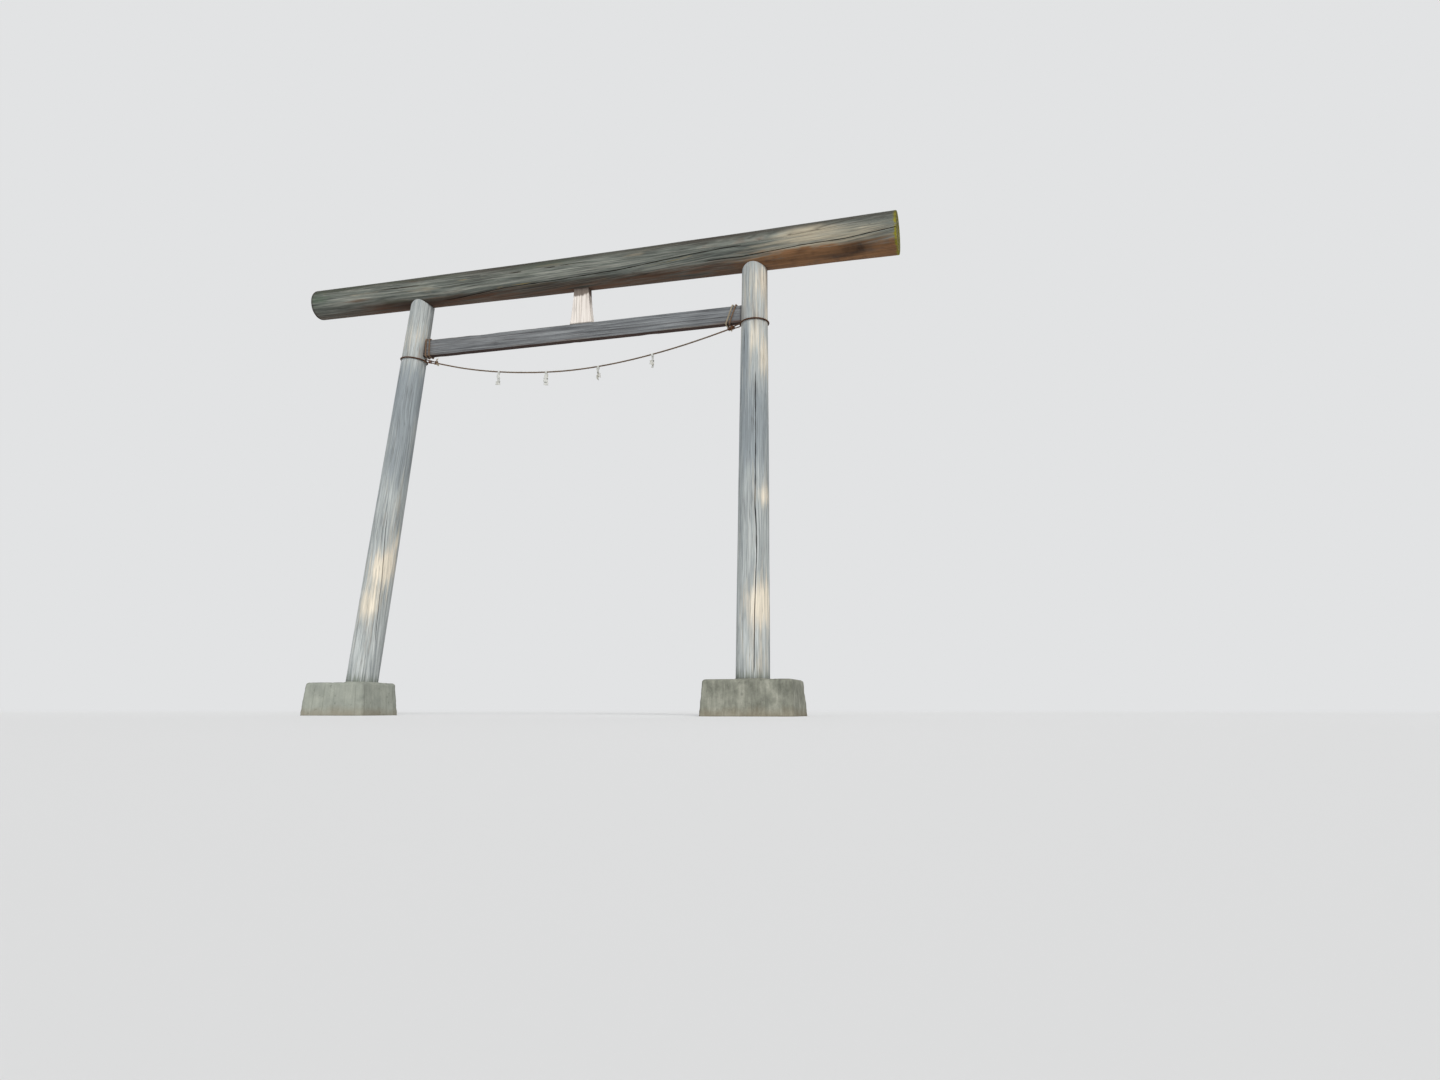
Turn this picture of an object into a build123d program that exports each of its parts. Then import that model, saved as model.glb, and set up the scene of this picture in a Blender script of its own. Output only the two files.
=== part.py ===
from build123d import *
import math
import os

# A plain shrine gate of round logs, seen from its front, which is the -Y side.
# X runs along the top beam and is 0 under its middle, Y is depth, and Z is height
# above the undersides of the two concrete plinths. Millimetres and degrees.

# Concrete plinths, cast by hand round the feet of the posts
plinth_height = 250.0
plinth_depth = 480.0
left_plinth_width = 560.0
right_plinth_width = 670.0
left_plinth_offset = -95.0
right_plinth_offset = 5.0
plinth_batter_angle = 5.0
plinth_corner_radius = 30.0
plinth_edge_radius = 16.0
socket_depth = 150.0

# Round posts, thinner towards the top, and how far each leans towards +X
left_post_x = -1780.0
right_post_x = 1320.0
left_lean_angle = 6.9
right_lean_angle = 0.6
post_foot_diameter = 240.0
post_head_diameter = 184.0
post_swell = 2.0

# Top beam, one whole log with its butt at the +X end
top_beam_length = 4800.0
top_beam_height = 3384.0
top_beam_thin_diameter = 244.0
top_beam_butt_diameter = 314.0
top_beam_even_taper = 0.65
top_beam_sag = 10.0
top_beam_sections = 9
top_beam_end_chamfer = 5.0

# Tenons on the heads of the posts, which hold the top beam
post_tenon_length = 80.0
post_tenon_width = 60.0
post_tenon_height = 110.0
post_tenon_root = 30.0
mortise_end_gap = 2.0

# Squared tie beam, housed in the inner side of each post: its top is this far under the log's axis
tie_beam_drop = 423.0
tie_beam_height = 133.0
tie_beam_thickness = 60.0
tie_beam_chamfer = 5.0
tie_beam_housing = 70.0

# Flared strut between the two beams
strut_x = -15.0
strut_top_width = 122.0
strut_foot_width = 184.0
strut_thickness = 64.0
strut_hollow = 5.0
strut_tenon_width = 60.0
strut_tenon_thickness = 24.0
strut_tenon_height = 22.0

# Rope: a ring round each post, two turns round each end of the tie beam, and the swag between.
# A ring lies its drop under the tie beam, and a turn its gap from the post's inner side.
rope_diameter = 12.0
rope_clearance = 0.3
left_ring_drop = 23.0
right_ring_drop = 9.0
loop_corner_radius = 13.0
left_loop_gaps = (15.0, 46.0)
right_loop_gaps = (60.0, 85.0)
left_loop_angle = 0.0
right_loop_angle = 20.0
left_knot_length = 128.0
right_knot_length = 94.0
knot_diameter = 36.0
knot_end_diameter = 24.0

# Route of the swag, from the left knot to the right knot: X, Y, and the drop under the tie beam
swag_points = [
    (-1235, -20, 71),
    (-1090, -22, 113),
    (-940, -24, 149),
    (-785, -26, 179),
    (-625, -27, 203),
    (-465, -28, 221),
    (-300, -29, 234),
    (-135, -30, 240),
    (25, -30, 237),
    (185, -29, 227),
    (345, -28, 210),
    (500, -27, 188),
    (655, -26, 161),
    (810, -24, 129),
    (965, -22, 92),
    (1085, -21, 61),
    (1150, -20, 43),
]
arc_share = 0.45

# Folded paper streamers on the swag: place along it, and turn about the vertical
streamer_xs = (-693.0, -289.0, 139.0, 570.0)
streamer_angles = (-14.0, 9.0, 74.0, -24.0)
streamer_paper = 1.2
streamer_tab_width = 18.0
streamer_tab_length = 16.0
streamer_panel_width = 34.0
streamer_panel_height = 30.0
streamer_panel_step = 11.0
streamer_panel_slope = 5.0
streamer_panel_lap = 3.0

rope_radius = rope_diameter / 2
tie_beam_top = top_beam_height - tie_beam_drop
tie_beam_underside = tie_beam_top - tie_beam_height
tie_beam_middle = tie_beam_top - tie_beam_height / 2
rope_route = [(x, y, tie_beam_underside - drop) for x, y, drop in swag_points]


def post_plane(foot_x, lean):
    """Plane of a post's half profile: its x is the radius, its y runs up the post's axis."""
    tilt = math.radians(lean)
    return Plane(
        origin=(foot_x, 0, plinth_height),
        x_dir=(math.cos(tilt), 0, -math.sin(tilt)),
        z_dir=(0, -1, 0),
    )


def post_axis(foot_x, lean):
    tilt = math.radians(lean)
    return Axis((foot_x, 0, plinth_height), (math.sin(tilt), 0, math.cos(tilt)))


def post_reach(height, lean):
    """Distance up the post's axis at which it is at this height."""
    return (height - plinth_height) / math.cos(math.radians(lean))


def post_centre(foot_x, lean, height):
    return foot_x + (height - plinth_height) * math.tan(math.radians(lean))


def post_radius(lean, height):
    """Straight taper from foot to head, with a slight swell that is greatest half way up."""
    share = post_reach(height, lean) / post_reach(top_beam_height, lean)
    straight = post_foot_diameter + (post_head_diameter - post_foot_diameter) * share
    return straight / 2 + 4 * post_swell * share * (1 - share)


def beam_radius(x):
    """The log is thinner at -X and widens a little faster towards its butt."""
    share = x / top_beam_length + 0.5
    growth = top_beam_even_taper * share + (1 - top_beam_even_taper) * share**2
    return (top_beam_thin_diameter + (top_beam_butt_diameter - top_beam_thin_diameter) * growth) / 2


def beam_centre(x):
    """Height of the log's own axis, which sags between its ends."""
    share = x / top_beam_length + 0.5
    return top_beam_height - top_beam_sag * math.sin(math.pi * share)


def beam_underside(x):
    return beam_centre(x) - beam_radius(x)


def tenon_sketch_plane(foot_x, lean, drop):
    """Plane square to the post's axis, this far under the log's underside."""
    head_x = post_centre(foot_x, lean, beam_underside(foot_x))
    axis = post_axis(foot_x, lean)
    reach = post_reach(beam_underside(head_x), lean) - drop
    return Plane(
        origin=axis.position + axis.direction * reach,
        x_dir=post_plane(foot_x, lean).x_dir,
        z_dir=axis.direction,
    )


# The log before its mortises are cut, which also shapes the saddles under it
with BuildPart() as beam_blank:
    for section in range(top_beam_sections):
        section_x = top_beam_length * (section / (top_beam_sections - 1) - 0.5)
        section_centre = (section_x, 0, beam_centre(section_x))
        with BuildSketch(Plane(origin=section_centre, x_dir=(0, 0, 1), z_dir=(1, 0, 0))):
            Circle(beam_radius(section_x))
    loft()
    end_faces = beam_blank.faces().filter_by(GeomType.PLANE)
    chamfer(end_faces.edges(), top_beam_end_chamfer)

posts = {
    "left": (left_post_x, left_lean_angle),
    "right": (right_post_x, right_lean_angle),
}

with BuildPart() as top_beam:
    add(beam_blank.part)
    for foot_x, lean in posts.values():
        with BuildSketch(tenon_sketch_plane(foot_x, lean, post_tenon_root)):
            Rectangle(post_tenon_length, post_tenon_width)
        extrude(amount=post_tenon_root + post_tenon_height + mortise_end_gap, mode=Mode.SUBTRACT)
    with BuildSketch(Plane.XY.offset(beam_underside(strut_x) - strut_tenon_height)):
        with Locations((strut_x, 0)):
            Rectangle(strut_tenon_width, strut_tenon_thickness)
    extrude(amount=2 * strut_tenon_height + mortise_end_gap, mode=Mode.SUBTRACT)
top_beam.part.label = "top_beam"


def beside_post(side, gap):
    """X of what lies this far from the inner side of a post, at the tie beam's mid height."""
    foot_x, lean = posts[side]
    inward = 1 if side == "left" else -1
    return post_centre(foot_x, lean, tie_beam_middle) + inward * (post_radius(lean, tie_beam_middle) + gap)


def tie_beam_solid(end_gap):
    """The tie beam, or with an end gap the shape of its two housings."""
    start = beside_post("left", -tie_beam_housing - end_gap)
    length = beside_post("right", -tie_beam_housing - end_gap) - start
    with BuildPart() as bar:
        with BuildSketch(Plane.YZ.offset(start)):
            with Locations((0, tie_beam_middle)):
                Rectangle(tie_beam_thickness, tie_beam_height)
        extrude(amount=length)
        chamfer(bar.edges().filter_by(Axis.X), tie_beam_chamfer)
    return bar


with BuildPart() as tie_beam:
    add(tie_beam_solid(0.0).part)
    with BuildSketch(Plane.XY.offset(tie_beam_top)):
        with Locations((strut_x, 0)):
            Rectangle(strut_tenon_width, strut_tenon_thickness)
    extrude(amount=-(strut_tenon_height + mortise_end_gap), mode=Mode.SUBTRACT)
tie_beam.part.label = "tie_beam"


def make_post(side):
    """A leaning post: foot in its socket, housing for the tie beam, saddle and tenon at its head."""
    foot_x, lean = posts[side]
    blank_top = post_reach(top_beam_height, lean)
    foot_radius = post_foot_diameter / 2
    with BuildPart() as post:
        with BuildSketch(post_plane(foot_x, lean)):
            with BuildLine():
                taper = SagittaArc((foot_radius, 0), (post_head_diameter / 2, blank_top), -post_swell)
                Polyline(taper @ 1, (0, blank_top), (0, -socket_depth), (foot_radius, -socket_depth), taper @ 0)
            make_face()
        revolve(axis=post_axis(foot_x, lean))
        add(beam_blank.part, mode=Mode.SUBTRACT)
        add(tie_beam_solid(mortise_end_gap).part, mode=Mode.SUBTRACT)
        with BuildSketch(tenon_sketch_plane(foot_x, lean, post_tenon_root)):
            Rectangle(post_tenon_length, post_tenon_width)
        extrude(amount=post_tenon_root + post_tenon_height)
    post.part.label = side + "_post"
    return post


def make_plinth(side, width, offset):
    """A battered block with worn edges and a socket for the post's foot."""
    foot_x, lean = posts[side]
    inset = plinth_height * math.tan(math.radians(plinth_batter_angle))
    with BuildPart() as plinth:
        for height, shrink in ((0.0, 0.0), (plinth_height, inset)):
            with BuildSketch(Plane.XY.offset(height)):
                with Locations((foot_x + offset, 0)):
                    RectangleRounded(
                        width - 2 * shrink,
                        plinth_depth - 2 * shrink,
                        plinth_corner_radius,
                    )
        loft()
        top_face = plinth.faces().sort_by(Axis.Z)[-1]
        fillet(top_face.edges(), plinth_edge_radius)
        with BuildSketch(post_plane(foot_x, lean)):
            Rectangle(post_foot_diameter / 2, 2 * socket_depth, align=(Align.MIN, Align.CENTER))
        revolve(axis=post_axis(foot_x, lean), mode=Mode.SUBTRACT)
    plinth.part.label = side + "_plinth"
    return plinth


left_post = make_post("left")
right_post = make_post("right")
left_plinth = make_plinth("left", left_plinth_width, left_plinth_offset)
right_plinth = make_plinth("right", right_plinth_width, right_plinth_offset)

# The strut widens to its foot in shallow hollow curves and is cut to the log at its head
with BuildPart() as strut:
    head_height = beam_underside(strut_x) + strut_tenon_height / 2
    with BuildSketch(Plane.XZ):
        with BuildLine():
            foot = Line(
                (strut_x - strut_foot_width / 2, tie_beam_top),
                (strut_x + strut_foot_width / 2, tie_beam_top),
            )
            head = Line(
                (strut_x - strut_top_width / 2, head_height),
                (strut_x + strut_top_width / 2, head_height),
            )
            SagittaArc(foot @ 0, head @ 0, strut_hollow)
            SagittaArc(foot @ 1, head @ 1, -strut_hollow)
        make_face()
    extrude(amount=strut_thickness / 2, both=True)
    add(beam_blank.part, mode=Mode.SUBTRACT)
    with BuildSketch(Plane.XY.offset(tie_beam_top - strut_tenon_height)):
        with Locations((strut_x, 0)):
            Rectangle(strut_tenon_width, strut_tenon_thickness)
    extrude(amount=beam_underside(strut_x) - tie_beam_top + 2 * strut_tenon_height)
strut.part.label = "strut"


def make_ring(side, drop, thickness=rope_radius):
    """One turn of rope round a post, square to its axis, just under the tie beam."""
    foot_x, lean = posts[side]
    height = tie_beam_underside - drop
    ring_radius = post_radius(lean, height) + rope_clearance + rope_radius
    with BuildPart() as ring:
        with BuildSketch(post_plane(foot_x, lean)):
            with Locations((ring_radius, post_reach(height, lean))):
                Circle(thickness)
        revolve(axis=post_axis(foot_x, lean))
    ring.part.label = side + "_post_ring"
    return ring


def make_loop(label, loop_x, slant, thickness=rope_radius):
    """One turn of rope round the tie beam, in a plane that leans by the slant."""
    tilt = math.radians(slant)
    across = tie_beam_thickness / 2 + rope_clearance + rope_radius
    upward = (tie_beam_height / 2 + rope_clearance + rope_radius) / math.cos(tilt)
    loop_plane = Plane(
        origin=(loop_x, 0, tie_beam_middle),
        x_dir=(0, 1, 0),
        z_dir=(math.cos(tilt), 0, -math.sin(tilt)),
    )
    corners = [(-across, -upward), (across, -upward), (across, upward), (-across, upward)]
    with BuildPart() as loop:
        with BuildLine(loop_plane) as route:
            FilletPolyline(*corners, radius=loop_corner_radius, close=True)
        with BuildSketch(Plane(origin=route.line @ 0, z_dir=route.line % 0)):
            Circle(thickness)
        sweep(path=route.wire())
    loop.part.label = label
    return loop


def make_knot(side, rope_end, next_point, knot_length, rope_beside):
    """A barrel-shaped knot in line with the swag, hollowed where it grips the ring and the loops."""
    outward = (Vector(*rope_end) - Vector(*next_point)).normalized()
    knot_plane = Plane(origin=rope_end, x_dir=outward, z_dir=outward.cross(Vector(0, 0, 1)))
    with BuildPart() as knot:
        with BuildSketch(knot_plane):
            with BuildLine():
                crown = ThreePointArc(
                    (0, knot_end_diameter / 2),
                    (knot_length / 2, knot_diameter / 2),
                    (knot_length, knot_end_diameter / 2),
                )
                Polyline(crown @ 1, (knot_length, 0), (0, 0), crown @ 0)
            make_face()
        revolve(axis=Axis(rope_end, outward))
        for turn in rope_beside:
            add(turn.part, mode=Mode.SUBTRACT)
    knot.part.label = side + "_knot"
    return knot


rope_ties = {
    "left": (left_ring_drop, left_loop_gaps, left_loop_angle, left_knot_length, rope_route[:2]),
    "right": (right_ring_drop, right_loop_gaps, right_loop_angle, right_knot_length, rope_route[:-3:-1]),
}
rings = []
loops = []
knots = []
for side, (drop, loop_gaps, slant, knot_length, (rope_end, next_point)) in rope_ties.items():
    rings.append(make_ring(side, drop))
    rope_beside = [make_ring(side, drop, rope_radius + rope_clearance)]
    for turn, loop_gap in enumerate(loop_gaps, start=1):
        label = f"{side}_beam_loop_{turn}"
        loop_x = beside_post(side, loop_gap)
        loops.append(make_loop(label, loop_x, slant))
        rope_beside.append(make_loop(label, loop_x, slant, rope_radius + rope_clearance))
    knots.append(make_knot(side, rope_end, next_point, knot_length, rope_beside))


def arc_radius(before, corner, after):
    """Radius of the arc at a point of the route: as large as its two runs allow."""
    arriving = Vector(*corner) - Vector(*before)
    leaving = Vector(*after) - Vector(*corner)
    half_turn = math.radians(arriving.get_angle(leaving)) / 2
    return arc_share * min(arriving.length, leaving.length) / math.tan(half_turn)


radii = [arc_radius(*three) for three in zip(rope_route, rope_route[1:], rope_route[2:])]
print("rope arc radii, mm:", [round(radius) for radius in radii])

# The swag of rope that hangs between the knots
with BuildPart() as hanging_rope:
    with BuildLine() as swag:
        FilletPolyline(*rope_route, radius=radii)
    with BuildSketch(Plane(origin=swag.line @ 0, z_dir=swag.line % 0)):
        Circle(rope_radius)
    sweep(path=swag.wire())
hanging_rope.part.label = "hanging_rope"
swag_length = swag.wire().length
print("rope length, mm:", round(swag_length, 1))
print("rope volume over section times length:",
      round(hanging_rope.part.volume / (math.pi * rope_radius**2 * swag_length), 5))


def rope_place(x):
    """Point of the swag at this X, found by halving its length, and the rope's direction there."""
    low, high = 0.0, 1.0
    for _ in range(30):
        share = (low + high) / 2
        if (swag.wire() @ share).X < x:
            low = share
        else:
            high = share
    return swag.wire() @ share, swag.wire() % share


def make_streamer(number, x, turn):
    """Cut paper in a zigzag of three panels, folded over the rope by its tab."""
    centre, along = rope_place(x)
    collar_radius = rope_radius + rope_clearance + streamer_paper
    panel_top = -collar_radius - streamer_tab_length
    with BuildPart() as streamer:
        with BuildSketch(Plane(origin=centre - along * (streamer_tab_width / 2), z_dir=along)):
            Circle(collar_radius)
            Circle(collar_radius - streamer_paper, mode=Mode.SUBTRACT)
        extrude(amount=streamer_tab_width)
        with BuildSketch(Plane(origin=centre, x_dir=along, z_dir=along.cross(Vector(0, 0, 1)))):
            with Locations((0, -collar_radius - streamer_tab_length / 2)):
                Rectangle(streamer_tab_width, streamer_tab_length + streamer_paper)
        extrude(amount=streamer_paper / 2, both=True)
        sway = math.radians(turn)
        with BuildSketch(Plane(origin=centre, x_dir=(math.cos(sway), math.sin(sway), 0),
                               z_dir=(math.sin(sway), -math.cos(sway), 0))):
            for panel in range(3):
                side = streamer_panel_step / 2 * (-1) ** panel
                top = panel_top + streamer_panel_slope - panel * streamer_panel_height
                bottom = top - streamer_panel_height - streamer_panel_slope - streamer_panel_lap
                half = streamer_panel_width / 2
                with BuildLine():
                    Polyline(
                        (side - half, top - streamer_panel_slope),
                        (side + half, top),
                        (side + half, bottom + streamer_panel_slope),
                        (side - half, bottom),
                        close=True,
                    )
                make_face()
        extrude(amount=streamer_paper / 2, both=True)
    streamer.part.label = f"streamer_{number}"
    return streamer


streamers = [
    make_streamer(number, x, turn)
    for number, (x, turn) in enumerate(zip(streamer_xs, streamer_angles), start=1)
]

os.makedirs("parts", exist_ok=True)
gate_pieces = [
    left_plinth,
    right_plinth,
    left_post,
    right_post,
    top_beam,
    tie_beam,
    strut,
    *rings,
    *loops,
    *knots,
    hanging_rope,
    *streamers,
]
for piece in gate_pieces:
    export_step(piece.part, f"parts/{piece.part.label}.step")
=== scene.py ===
"""A plain shrine gate of weathered logs: its surfaces, ropes, paper and light.

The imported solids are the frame. Each piece here is a surface worked out with numpy and put
where its solid is. Metres; X runs along the top beam, the front is -Y, and Z is up.
"""

import math
from collections import namedtuple

import bpy
import numpy as np
from bpy.props import FloatProperty, FloatVectorProperty, IntProperty, PointerProperty
from bpy.types import NodeSocket, Operator, Panel, PropertyGroup
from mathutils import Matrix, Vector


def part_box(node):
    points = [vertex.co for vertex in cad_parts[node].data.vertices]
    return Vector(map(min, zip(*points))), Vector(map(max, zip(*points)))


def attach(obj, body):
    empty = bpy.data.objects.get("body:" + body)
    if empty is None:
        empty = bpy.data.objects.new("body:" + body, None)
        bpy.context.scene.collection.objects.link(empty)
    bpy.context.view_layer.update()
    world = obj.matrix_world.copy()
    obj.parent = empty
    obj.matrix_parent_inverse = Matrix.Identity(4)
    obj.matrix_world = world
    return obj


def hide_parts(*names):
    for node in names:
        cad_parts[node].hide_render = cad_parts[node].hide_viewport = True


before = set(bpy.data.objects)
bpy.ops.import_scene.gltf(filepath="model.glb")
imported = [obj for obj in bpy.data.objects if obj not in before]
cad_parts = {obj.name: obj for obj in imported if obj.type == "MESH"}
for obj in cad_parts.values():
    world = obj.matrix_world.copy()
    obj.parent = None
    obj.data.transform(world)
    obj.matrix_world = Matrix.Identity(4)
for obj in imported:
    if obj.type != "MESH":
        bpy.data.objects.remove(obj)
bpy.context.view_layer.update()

bl_info = {
    "name": "Log Shrine Gate",
    "version": (1, 0, 0),
    "blender": (4, 5, 0),
    "location": "View3D > Sidebar > Gate",
    "description": "Weathered log gate with a sagging rope and folded paper streamers",
    "category": "Add Mesh",
}

BODY = "root"
SIDES = ("left", "right")
UP = np.array([0.0, 0.0, 1.0])
BACK = np.array([0.0, 1.0, 0.0])
TURN = 2 * math.pi
PLINTH_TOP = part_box("left_plinth")[1].z
BEAM_LOW, BEAM_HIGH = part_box("top_beam")
BEAM_LENGTH = BEAM_HIGH.x - BEAM_LOW.x
TIE_LOW, TIE_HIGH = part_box("tie_beam")
TIE_MIDDLE = (TIE_LOW.z + TIE_HIGH.z) / 2
STRUT_LOW, STRUT_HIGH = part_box("strut")

# A drying check is painted fully dark, as shade, where it is this deep
DARK_DEPTH = 0.004
# Columns of points across a drying check, in its half widths
CHECK_COLUMNS = np.array([-3.5, -1.4, -1, -0.45, 0, 0.45, 1, 1.4, 3.5])
# How often a span is halved until a surface's end lies on the log's underside
HALVINGS = 26
# A strand's share of the rope's thickness: three strands that press a little into each other
STRAND_SHARE = 0.47
# Thickness of the cord that the knots are tied with
KNOT_CORD = 0.0092

# The swag's route from the left knot to the right knot
ROPE_ROUTE = [
    (-1.235, -0.020, 2.757),
    (-1.090, -0.022, 2.715),
    (-0.940, -0.024, 2.679),
    (-0.785, -0.026, 2.649),
    (-0.625, -0.027, 2.625),
    (-0.465, -0.028, 2.607),
    (-0.300, -0.029, 2.594),
    (-0.135, -0.030, 2.588),
    (0.025, -0.030, 2.591),
    (0.185, -0.029, 2.601),
    (0.345, -0.028, 2.618),
    (0.500, -0.027, 2.640),
    (0.655, -0.026, 2.667),
    (0.810, -0.024, 2.699),
    (0.965, -0.022, 2.736),
    (1.085, -0.021, 2.767),
    (1.150, -0.020, 2.785),
]

# A drying check: the stretch that is open, its half width and depth, and its path as places along
# the log in metres and degrees round it
DryingCheck = namedtuple("DryingCheck", "start end width depth path")

BEAM_CHECKS = [
    DryingCheck(0.98, 2.6, 0.0026, 0.022, [(-2.4, -92), (-1.1, -80), (0.34, -52), (1.04, -35),
        (1.29, -35), (1.49, -30.5), (1.72, -25), (2.04, -22.5), (2.4, -10)]),
    DryingCheck(-1.2, 1.3, 0.0028, 0.024, [(-2.4, -66), (-1.1, -60), (-0.64, -41), (-0.28, -37),
        (0.34, -28), (0.67, -17), (0.91, -9.5), (1.14, -4.5), (2.4, 6)]),
    DryingCheck(1.6, 2.6, 0.0018, 0.012, [(-2.4, 30), (1.2, 3), (1.70, 8), (2.06, 17), (2.4, 26)]),
    DryingCheck(-2.3, 0.1, 0.0017, 0.008, [(-2.4, 9), (-1.9, 7), (-1.2, 6), (-0.6, 8), (-0.1, 12),
        (2.4, 44)]),
    DryingCheck(-2.6, -0.9, 0.0020, 0.014, [(-2.4, 74), (-1.2, 66), (0.3, 80), (2.4, 88)]),
    DryingCheck(-0.7, 2.6, 0.0026, 0.022, [(-2.4, 128), (-0.4, 140), (1.1, 133), (2.4, 126)]),
    DryingCheck(-2.6, 0.4, 0.0024, 0.020, [(-2.4, 171), (-0.9, 182), (0.6, 176), (2.4, 188)]),
    DryingCheck(0.9, 2.6, 0.0020, 0.014, [(-2.4, 232), (0.0, 238), (2.4, 246)]),
]
POST_CHECKS = {
    "left": [
        DryingCheck(0.28, 1.35, 0.0018, 0.012, [(0.0, 66), (0.33, 59), (0.67, 49), (0.80, 47),
            (1.18, 30), (1.9, 26), (2.14, 12), (3.0, 4)]),
        DryingCheck(0.9, 2.7, 0.0018, 0.012, [(0.0, 128), (1.5, 121), (3.0, 112)]),
        DryingCheck(-0.5, 2.3, 0.0026, 0.022, [(0.0, 186), (1.2, 181), (3.0, 190)]),
        DryingCheck(-0.5, 1.0, 0.0018, 0.010, [(0.0, 262), (1.4, 270), (3.0, 279)]),
        DryingCheck(1.5, 2.2, 0.0013, 0.008, [(0.0, 322), (1.4, 332), (3.0, 338)]),
    ],
    "right": [
        DryingCheck(0.02, 2.2, 0.0026, 0.022, [(0.0, 18), (0.45, 19), (0.67, 22), (0.86, 26),
            (1.06, 24), (1.22, 18.5), (1.75, 20.5), (2.14, 19), (3.0, 21)]),
        DryingCheck(2.15, 3.02, 0.0017, 0.010, [(0.0, 66), (2.0, 59), (3.0, 54)]),
        DryingCheck(0.6, 2.3, 0.0018, 0.012, [(0.0, 104), (1.5, 109), (3.0, 99)]),
        DryingCheck(0.2, 3.4, 0.0028, 0.024, [(0.0, 172), (1.6, 178), (3.0, 170)]),
        DryingCheck(-0.5, 1.4, 0.0018, 0.012, [(0.0, 247), (1.4, 241), (3.0, 250)]),
        DryingCheck(0.5, 1.25, 0.0013, 0.008, [(0.0, 318), (1.4, 324), (3.0, 330)]),
    ],
}

# Patches on a log by mask: the strength, the middle and reach along the log in metres, and the
# middle and reach round it in degrees
BEAM_PATCHES = {
    "pale": [(0.84, 1.76, 0.26, 14, 26), (0.40, 0.52, 0.26, 22, 13), (0.50, 2.00, 0.45, -12, 20),
        (0.52, 1.80, 0.55, -35, 12), (0.40, -1.75, 0.55, -10, 18), (0.36, 1.40, 0.22, -36, 14)],
    "warm": [(0.50, -1.45, 0.13, 28, 13), (0.34, -0.95, 0.30, 46, 12), (0.34, 0.62, 0.22, 34, 12),
        (0.22, 1.25, 0.50, -6, 16), (0.62, -2.00, 0.24, -37, 6), (0.40, -1.95, 0.30, 50, 10)],
    "lichen": [(0.34, -2.28, 0.07, 16, 15)],
    "moss": [(0.50, -2.28, 0.12, -22, 16), (0.50, -1.50, 0.62, -43, 9),
        (0.34, -0.10, 0.60, -46, 10)],
    # The dark patches at 32 degrees round, at 1.12 m and -0.65 m along, are painted shade
    "dark": [(0.40, -1.45, 0.70, -46, 11), (0.26, -0.05, 0.70, -47, 10),
        (0.66, 2.12, 0.15, -45, 11), (0.40, -1.45, 0.50, -62, 13), (0.28, 1.12, 0.32, 32, 24),
        (0.22, -0.65, 0.32, 32, 22), (0.42, 1.72, 0.05, -34, 5), (0.34, 1.50, 0.22, -52, 5),
        (0.36, 1.92, 0.20, -58, 6), (0.30, 2.30, 0.08, -30, 7)],
}
# Patches on a post by mask, laid out as on the log. These paint light and shade: the pale ones are
# painted sunlit patches, the silver ones painted shade of trees half way up, and the dark and warm
# ones near the head painted shade on the flank turned from the light, where the wood is browner
# too.
POST_PATCHES_AND_PAINTED_LIGHT = {
    "left": {
        "pale": [(0.74, 0.61, 0.13, 16, 42), (1.10, 0.90, 0.13, 50, 56), (0.50, 1.10, 0.08, 88, 18),
            (0.36, 2.76, 0.13, 40, 60)],
        "silver": [(0.80, 1.76, 0.34, 30, 130), (1.10, 2.30, 0.26, 30, 130)],
        "dark": [(0.42, 2.88, 0.20, 104, 22)],
        "warm": [(0.24, 2.62, 0.14, 66, 34)],
    },
    "right": {
        "pale": [(0.30, 0.10, 0.16, 40, 50), (0.98, 0.50, 0.18, 46, 52), (0.66, 1.27, 0.08, 64, 36),
            (0.72, 2.27, 0.15, 60, 28), (0.36, 2.42, 0.11, 12, 24), (0.66, 2.86, 0.15, 52, 36),
            (0.50, 2.62, 0.09, 78, 18)],
        "silver": [(1.00, 1.76, 0.42, 20, 130), (0.80, 2.36, 0.24, -30, 18)],
        "dark": [(0.58, 2.96, 0.20, 100, 18)],
        "warm": [(0.26, 2.76, 0.14, 72, 26), (0.60, 3.00, 0.14, 96, 24)],
    },
}

# A crack of the tie beam: its face, 1 behind and -1 in front, its height over the beam's middle,
# and the stretch along X that is open
TIE_CRACKS = [(-1, 0.036, -1.2, 0.2), (-1, -0.012, -0.2, 1.25), (1, 0.020, -0.9, 0.9)]

# Each streamer: its place along X, its turn and how far its panels turn from each other in
# degrees, the share of the full sideways step, and how much wider each panel is than the last
Streamer = namedtuple("Streamer", "x turn spread step flare")
STREAMERS = [
    Streamer(-0.693, -14.0, 12.0, 1.0, 0.22),
    Streamer(-0.289, 9.0, 8.0, 0.45, 0.06),
    Streamer(0.139, 74.0, 10.0, 0.8, 0.0),
    Streamer(0.570, -24.0, 26.0, 1.2, -0.04),
]


def size(name, description, default):
    return FloatProperty(
        name=name, description=description, default=default, unit="LENGTH", precision=4)


def share(name, description, default):
    return FloatProperty(
        name=name, description=description, default=default, min=0, max=1, subtype="FACTOR")


def count(name, description, default):
    return IntProperty(
        name=name, description=description, default=default, min=3, subtype="UNSIGNED")


def slope(name, description, degrees):
    return FloatProperty(
        name=name, description=description, default=math.radians(degrees), subtype="ANGLE")


def colour(name, description, *shown):
    """A colour given as a screen shows it, from 0 to 255, and kept as linear shares."""
    shown = np.array(shown) / 255
    linear = np.where(shown <= 0.04045, shown / 12.92, ((shown + 0.055) / 1.055) ** 2.4)
    return FloatVectorProperty(
        name=name, description=description, default=linear.tolist(), subtype="COLOR", min=0, max=1)


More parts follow.
